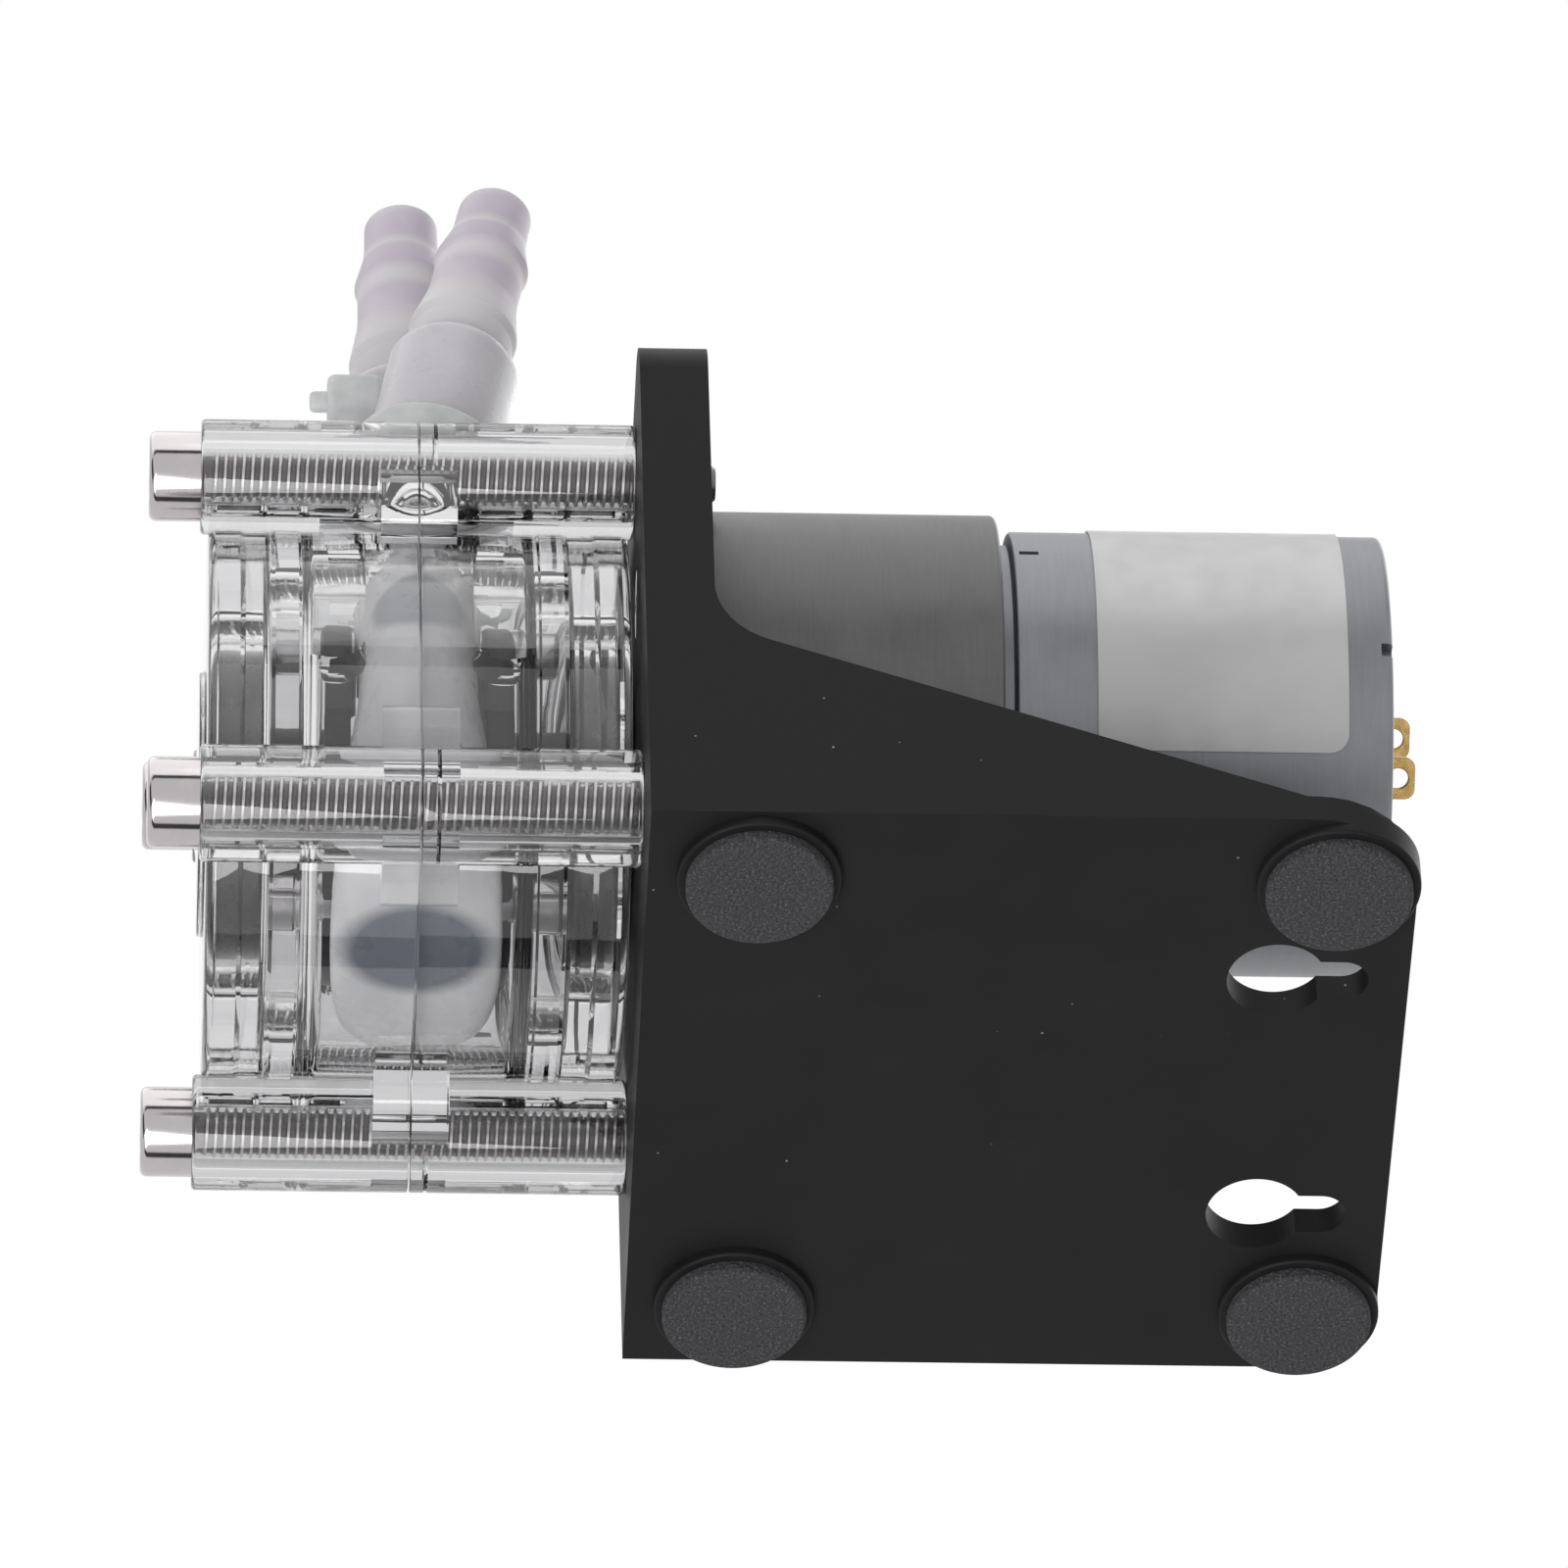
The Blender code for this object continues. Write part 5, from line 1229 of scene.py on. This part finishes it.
def tube_section(level, spread):
    """Points (out, sideways) of the tube when its inner side is pushed to a level."""
    half_width = TUBE_RADIUS + (PRESSED_HALF - TUBE_RADIUS) * spread
    half_depth = (TUBE_RADIUS - level) / 2
    cut = math.acos(max(-1.0, level / TUBE_RADIUS))
    share = 1 - spread / 2
    points = []
    for k in range(SECTION_POINTS):
        turn_angle = (2 * k / SECTION_POINTS - 1) * math.pi
        c = math.cos(turn_angle)
        s = math.sin(turn_angle)
        if spread > 0:
            out = level + half_depth + half_depth * math.copysign(abs(c) ** share, c)
            across = half_width * math.copysign(abs(s) ** share, s)
        elif abs(turn_angle) <= cut:
            out = TUBE_RADIUS * c
            across = TUBE_RADIUS * s
        else:
            out = level
            left_over = (math.pi - abs(turn_angle)) / (math.pi - cut)
            across = math.copysign(TUBE_RADIUS * math.sin(cut) * left_over, turn_angle)
        points.append((out, across))
    return points


loft = bmesh.new()
skins = ([], [])
for i, spot in enumerate(line):
    ahead = (line[min(i + 1, len(line) - 1)] - line[max(i - 1, 0)]).normalized()
    sideways = Vector((0.0, 1.0, 0.0))
    sideways = (sideways - ahead * sideways.dot(ahead)).normalized()
    outwards = ahead.cross(sideways)
    level = -TUBE_RADIUS
    spread = 0.0
    for where_pressed, deepest, free in presses:
        span = SEAT_REACH if free else PRESS_REACH
        near = max(0.0, 1 - ((along[i] - where_pressed) / span) ** 2) ** 2
        pushed = (deepest + TUBE_RADIUS) * near - TUBE_RADIUS
        if pushed > level:
            level = pushed
            spread = near if free else 0.0
    near_end = min(along[i], along[-1] - along[i])
    beyond = near_end - INSERT_LENGTH - 2.0
    swell = max(0.0, min(1.0, 1 - beyond / 4.0))
    stretch = END_STRETCH * swell * swell * (3 - 2 * swell)
    lip = 0.3 * max(0.0, 1 - near_end / 0.3) ** 2
    grown = 1 + (stretch - lip) / TUBE_RADIUS
    middle = (TUBE_RADIUS + level) / 2
    bore = 1 - TUBE_WALL / (TUBE_RADIUS + stretch) - 0.3 * middle / TUBE_RADIUS
    for skin, share in zip(skins, (1.0, bore)):
        ring = []
        for out, across in tube_section(level, spread):
            lift = (middle + (out - middle) * share) * grown
            ring.append(loft.verts.new(HEAD_AXIS + (spot + outwards * lift + sideways * across * share * grown) * MM))
        skin.append(ring)
outer_skin, inner_skin = skins
strips = list(zip(outer_skin, outer_skin[1:])) + list(zip(inner_skin, inner_skin[1:]))
strips += [(outer_skin[0], inner_skin[0]), (outer_skin[-1], inner_skin[-1])]
for first, second in strips:
    for k in range(SECTION_POINTS):
        n = (k + 1) % SECTION_POINTS
        loft.faces.new((first[k], first[n], second[n], second[k]))
tube = as_piece("silicone_tube", loft, silicone, math.radians(50.0))
fitted(tube, "pump", "silicone", "pump_tube")
print("tube:", round(along[-1], 1), "mm long along its middle line")

# %% [markdown]
# ## Joiners and ties
# A barbed joiner sits in each end of the tube, ready for a hose, and a nylon tie holds the tube on it. The
# barbs are long soft cones in a mould-made part, so their profile is rounded nearly everywhere. A tie
# is a thin band with a ratchet head, and a stub of tail where it was cut off.

# %% Joiners and ties
joiner_profile = (
    (2.0, 20.0),
    (2.95, 20.0, 0.75),
    (3.0, 16.8),
    (3.15, 15.6, 1.2),
    (3.84, 12.8, 0.5),
    (3.6, 11.9, 0.35),
    (3.62, 8.9),
    (3.75, 7.6, 1.2),
    (4.38, 4.1, 0.5),
    (4.15, 3.2, 0.35),
    (4.15, 0.05, 0.2),
    (3.35, 0.05),
    (3.35, -10.4, 0.5),
    (2.9, -13.0, 0.2),
    (2.0, -13.0),
)


def tie_band(name, back):
    """A band with a ratchet head and a cut tail, round the Y axis."""
    inner = TUBE_RADIUS + END_STRETCH + 0.05
    outer = inner + 1.1
    near = -back
    far = -back - 3.6
    band = turned(
        name,
        tie_nylon,
        ((inner, near, 0.15), (outer, near, 0.4), (outer, far, 0.4), (inner, far, 0.15)),
        MEDIUM,
        loop=True,
    )
    head_near = inner - 0.37
    head_far = head_near + 3.4
    ratchet = block("ratchet", None, (head_near, far, 2.0), (head_far, near, 6.4), 0.6)
    round_edges(ratchet, 0.6, 4)
    strap = (head_near + head_far - 1.1) / 2
    tail = block("tail", None, (strap, far + 0.9, 5.0), (strap + 1.1, near - 0.9, 7.8), 0.4)
    round_edges(tail, 0.4, 3)
    slot_way = block("slot_way", None, (strap - 0.25, far + 0.4, 0.0), (strap + 1.35, near - 0.4, 2.9), 0.2)
    shaped(band, ("+", ratchet), ("+", tail), ("-", slot_way))
    return round_edges(band, 0.25, 3, 50.0)


for hand, corner, end, back in (
    ("right", right_knee, RIGHT_END, 11.6),
    ("left", left_knee, LEFT_END, 4.4),
):
    straight = (end - corner).normalized()
    lie = Vector((0.0, 1.0, 0.0)).rotation_difference(straight).to_matrix().to_4x4()
    spot = Matrix.Translation(HEAD_AXIS + end * MM)
    joiner = turned(f"barbed_joiner_{hand}", joiner_plastic, joiner_profile, MEDIUM, loop=True)
    joiner.matrix_world = spot @ lie
    fitted(joiner, "pump", "joiner_plastic", f"tube_joiner_{hand}")
    tie = tie_band(f"nylon_tie_{hand}", back)
    low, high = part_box(f"cable_tie_{hand}")
    middle_of_node = (Vector(low) + Vector(high)) / 2
    ring_middle = HEAD_AXIS + (end - straight * (back + 1.8)) * MM
    lean = lie.to_3x3().inverted() @ (middle_of_node - ring_middle)
    tie_low, tie_high = (Vector(c) for c in (tie.bound_box[0], tie.bound_box[6]))
    own = (tie_low + tie_high) / 2
    turn_by = math.atan2(-lean.z, lean.x) - math.atan2(-own.z, own.x)
    tie.matrix_world = spot @ lie @ Matrix.Rotation(turn_by, 4, "Y")
    fitted(tie, "pump", "white_nylon", f"cable_tie_{hand}")
print("2 joiners and 2 ties")

# %% [markdown]
# ## Gearbox, motor and shaft
# The gearbox is a turned ring with a thin front plate, and its shaft sits off the middle. The motor can
# is drawn steel with a rolled front edge, a spot slot and staked notches that hold the end cap, which
# carries the rear bearing's boss, two vents and the brass terminals.

# %% Gearbox, motor and shaft
MOTOR_Y = 16.3
MOTOR_END = 46.4
GEARBOX_AXIS = mm(0.0, PLATE_REAR, MOTOR_AXIS_Z)
MOTOR_AXIS = mm(0.0, MOTOR_Y, MOTOR_AXIS_Z)
MOTOR_REAR = mm(0.0, MOTOR_END, MOTOR_AXIS_Z)

gearbox_profile = (
    (0.0, 23.05),
    (18.5, 23.05, 0.45),
    (18.5, 0.2, 0.3),
    (0.0, 0.2),
)
gearbox = turned("gearbox_drum", gearbox_metal, gearbox_profile, FINE, place=GEARBOX_AXIS)
neck = turned("gearbox_neck", None, ((0.0, 3.0), (6.0, 3.0), (6.0, -5.0, 0.4), (0.0, -5.0)), MEDIUM)
neck.matrix_world = Matrix.Translation(mm(0.0, PLATE_REAR, AXIS_Z))
bore = turned("neck_bore", None, ((0.0, 5.1), (3.1, 5.1), (3.1, -9.0), (0.0, -9.0)), SMALL)
bore.matrix_world = Matrix.Translation(mm(0.0, PLATE_REAR, AXIS_Z))
cuts = [("+", neck), ("-", bore)]
for spot in screw_places.values():
    cuts.append(("-", turned("tapped", None, ((0.0, 10.2), (1.62, 10.2), (1.62, -5.0), (0.0, -5.0)), SMALL, place=spot)))
shaped(gearbox, *cuts)
fitted(gearbox, "pump", "gearbox_metal", "gearbox_housing")

shaft = turned("geared_shaft", plated, ((0.0, 27.15), (3.0, 27.15), (3.0, 0.0, 0.4), (0.0, 0.0)), SMALL)
low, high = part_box("output_shaft")
shaft.matrix_world = Matrix.Translation(Vector((0.0, low[1], AXIS_Z * MM)))
flat = block("shaft_face", None, (2.5, -60.0, 0.0), (9.0, -12.7, 60.0))
shaped(shaft, ("-", flat))
fitted(shaft, "rotor", "plated_steel", "output_shaft")

for k, spot in screw_places.items():
    profile = ((0.0, 10.0), (1.1, 10.0), (1.47, 9.6), (1.47, 1.33), (2.8, 0.05, 0.08), (0.0, 0.0))
    screw = turned(f"gearbox_screw_{k}", plated, profile, SMALL, place=spot)
    cross = []
    for degrees in (20.0, 110.0):
        slot_cut = block("cross", None, (-1.5, -1.0, -0.28), (1.5, 1.1, 0.28))
        slot_cut.matrix_world = Matrix.Translation(spot) @ Matrix.Rotation(math.radians(degrees), 4, "Y")
        cross.append(("-", slot_cut))
    shaped(screw, *cross)
    fitted(screw, "pump", "plated_steel", f"motor_screw_{k}")

can_profile = (
    (0.0, 28.6),
    (15.1, 28.6),
    (15.1, 30.1, 0.15),
    (17.25, 30.1, 0.5),
    (17.25, 1.0, 0.35),
    (16.2, 0.8),
    (16.2, 0.0),
    (0.0, 0.0),
)
can = turned("motor_can_shell", can_metal, can_profile, FINE, place=MOTOR_AXIS)
cuts = []
for degrees, y0, y1, half in ((18.8, 1.5, 3.0, 0.3), (198.8, 1.5, 3.0, 0.3)):
    slot_cut = block("spot_slot", None, (16.9, y0, -half), (19.0, y1, half), 0.2)
    slot_cut.matrix_world = Matrix.Translation(MOTOR_AXIS) @ Matrix.Rotation(-math.radians(degrees), 4, "Y")
    cuts.append(("-", slot_cut))
for degrees in (-16.5, 73.5, 163.5, 253.5):
    notch = block("stake", None, (15.9, 29.2, -0.55), (19.0, 32.0, 0.55), 0.3)
    notch.matrix_world = Matrix.Translation(MOTOR_AXIS) @ Matrix.Rotation(-math.radians(degrees), 4, "Y")
    cuts.append(("-", notch))
shaped(can, *cuts)
fitted(can, "pump", "motor_steel", "motor_can")

cap_profile = (
    (0.0, 0.75),
    (1.1, 0.75),
    (1.1, 1.1, 0.1),
    (4.0, 1.1, 0.35),
    (4.0, 0.0, 0.3),
    (15.0, 0.0, 0.2),
    (15.0, -1.4),
    (0.0, -1.4),
)
cap = turned("motor_end_plate", cap_metal, cap_profile, FINE, place=MOTOR_REAR)
TERMINAL_TURN = -56.0
cuts = []
for degrees in (TERMINAL_TURN + 90.0, TERMINAL_TURN + 270.0):
    vent = block("vent", None, (8.2, -0.9, -2.6), (11.4, 3.0, 2.6), 0.3)
    vent.matrix_world = Matrix.Translation(MOTOR_REAR) @ Matrix.Rotation(-math.radians(degrees), 4, "Y")
    cuts.append(("-", vent))
shaped(cap, *cuts)
fitted(cap, "pump", "motor_steel", "motor_end_cap")

for name, degrees, tab_reach in (("terminal_positive", TERMINAL_TURN, 2.4), ("terminal_negative", TERMINAL_TURN + 180.0, 3.4)):
    outline = eased(((-1.65, 0.05), (1.65, 0.05), (1.65, tab_reach, 0.8), (-1.65, tab_reach, 0.8)), 6, True)
    tab = slab(f"brass_{name}", brass, outline, -0.25, 0.25, "Z")
    hole_profile = ((0.0, 3.0), (0.8, 3.0), (0.8, -3.0), (0.0, -3.0))
    hole = turned("tab_hole", None, hole_profile, SMALL)
    hole.matrix_world = Matrix.Translation(mm(0.0, tab_reach - 1.32, 0.0)) @ UPRIGHT
    shaped(tab, ("-", hole))
    round_edges(tab, 0.08)
    upright = Matrix(((0, 0, 1, 0), (0, 1, 0, 0), (-1, 0, 0, 0), (0, 0, 0, 1)))
    turn_to = Matrix.Rotation(-math.radians(degrees), 4, "Y")
    tab.matrix_world = Matrix.Translation(MOTOR_REAR) @ turn_to @ Matrix.Translation(mm(8.5, 0.0, 0.0)) @ upright
    fitted(tab, "pump", "brass", name)
print("gearbox, shaft, 4 screws, can, end plate and 2 terminals")

# %% [markdown]
# ## Label
# A film label wraps most of the way round the can. It is left blank. Its corners are round, so each
# row of the grid is as wide as the rounded outline allows at that place.

# %% Label
LABEL_INNER = 17.3
LABEL_OUTER = 17.45
LABEL_FIRST = -44.5
LABEL_SWEEP = 255.0
LABEL_START = 7.2
LABEL_LENGTH = 19.4
LABEL_CORNER = 1.5
LABEL_ROWS = 40
LABEL_COLUMNS = 120

shape = bmesh.new()
layers = []
for radius in (LABEL_INNER, LABEL_OUTER):
    grid = []
    for row in range(LABEL_ROWS + 1):
        t = 0.5 - 0.5 * math.cos(math.pi * row / LABEL_ROWS)
        y = LABEL_LENGTH * t
        edge = min(y, LABEL_LENGTH - y)
        inset = 0.0
        if edge < LABEL_CORNER:
            inset = LABEL_CORNER - math.sqrt(LABEL_CORNER**2 - (LABEL_CORNER - edge) ** 2)
        trim = math.degrees(inset / LABEL_INNER)
        cells_row = []
        for column in range(LABEL_COLUMNS + 1):
            degrees = LABEL_FIRST + trim + (LABEL_SWEEP - 2 * trim) * column / LABEL_COLUMNS
            angle = math.radians(degrees)
            spot = mm(radius * math.cos(angle), LABEL_START + y, radius * math.sin(angle))
            cells_row.append(shape.verts.new(spot))
        grid.append(cells_row)
    layers.append(grid)
inside, outside = layers
for grid in layers:
    for row in range(LABEL_ROWS):
        for column in range(LABEL_COLUMNS):
            shape.faces.new(
                (grid[row][column], grid[row][column + 1], grid[row + 1][column + 1], grid[row + 1][column])
            )
rim_in = [r[0] for r in inside] + inside[-1][1:] + [r[-1] for r in reversed(inside[:-1])] + inside[0][-2:0:-1]
rim_out = [r[0] for r in outside] + outside[-1][1:] + [r[-1] for r in reversed(outside[:-1])] + outside[0][-2:0:-1]
for k in range(len(rim_in)):
    n = (k + 1) % len(rim_in)
    shape.faces.new((rim_in[k], rim_in[n], rim_out[n], rim_out[k]))
label = as_piece("blank_label", shape, label_film)
label.matrix_world = Matrix.Translation(MOTOR_AXIS)
fitted(label, "pump", "silver_label", "motor_label")
print("label:", LABEL_LENGTH, "mm wide, blank")
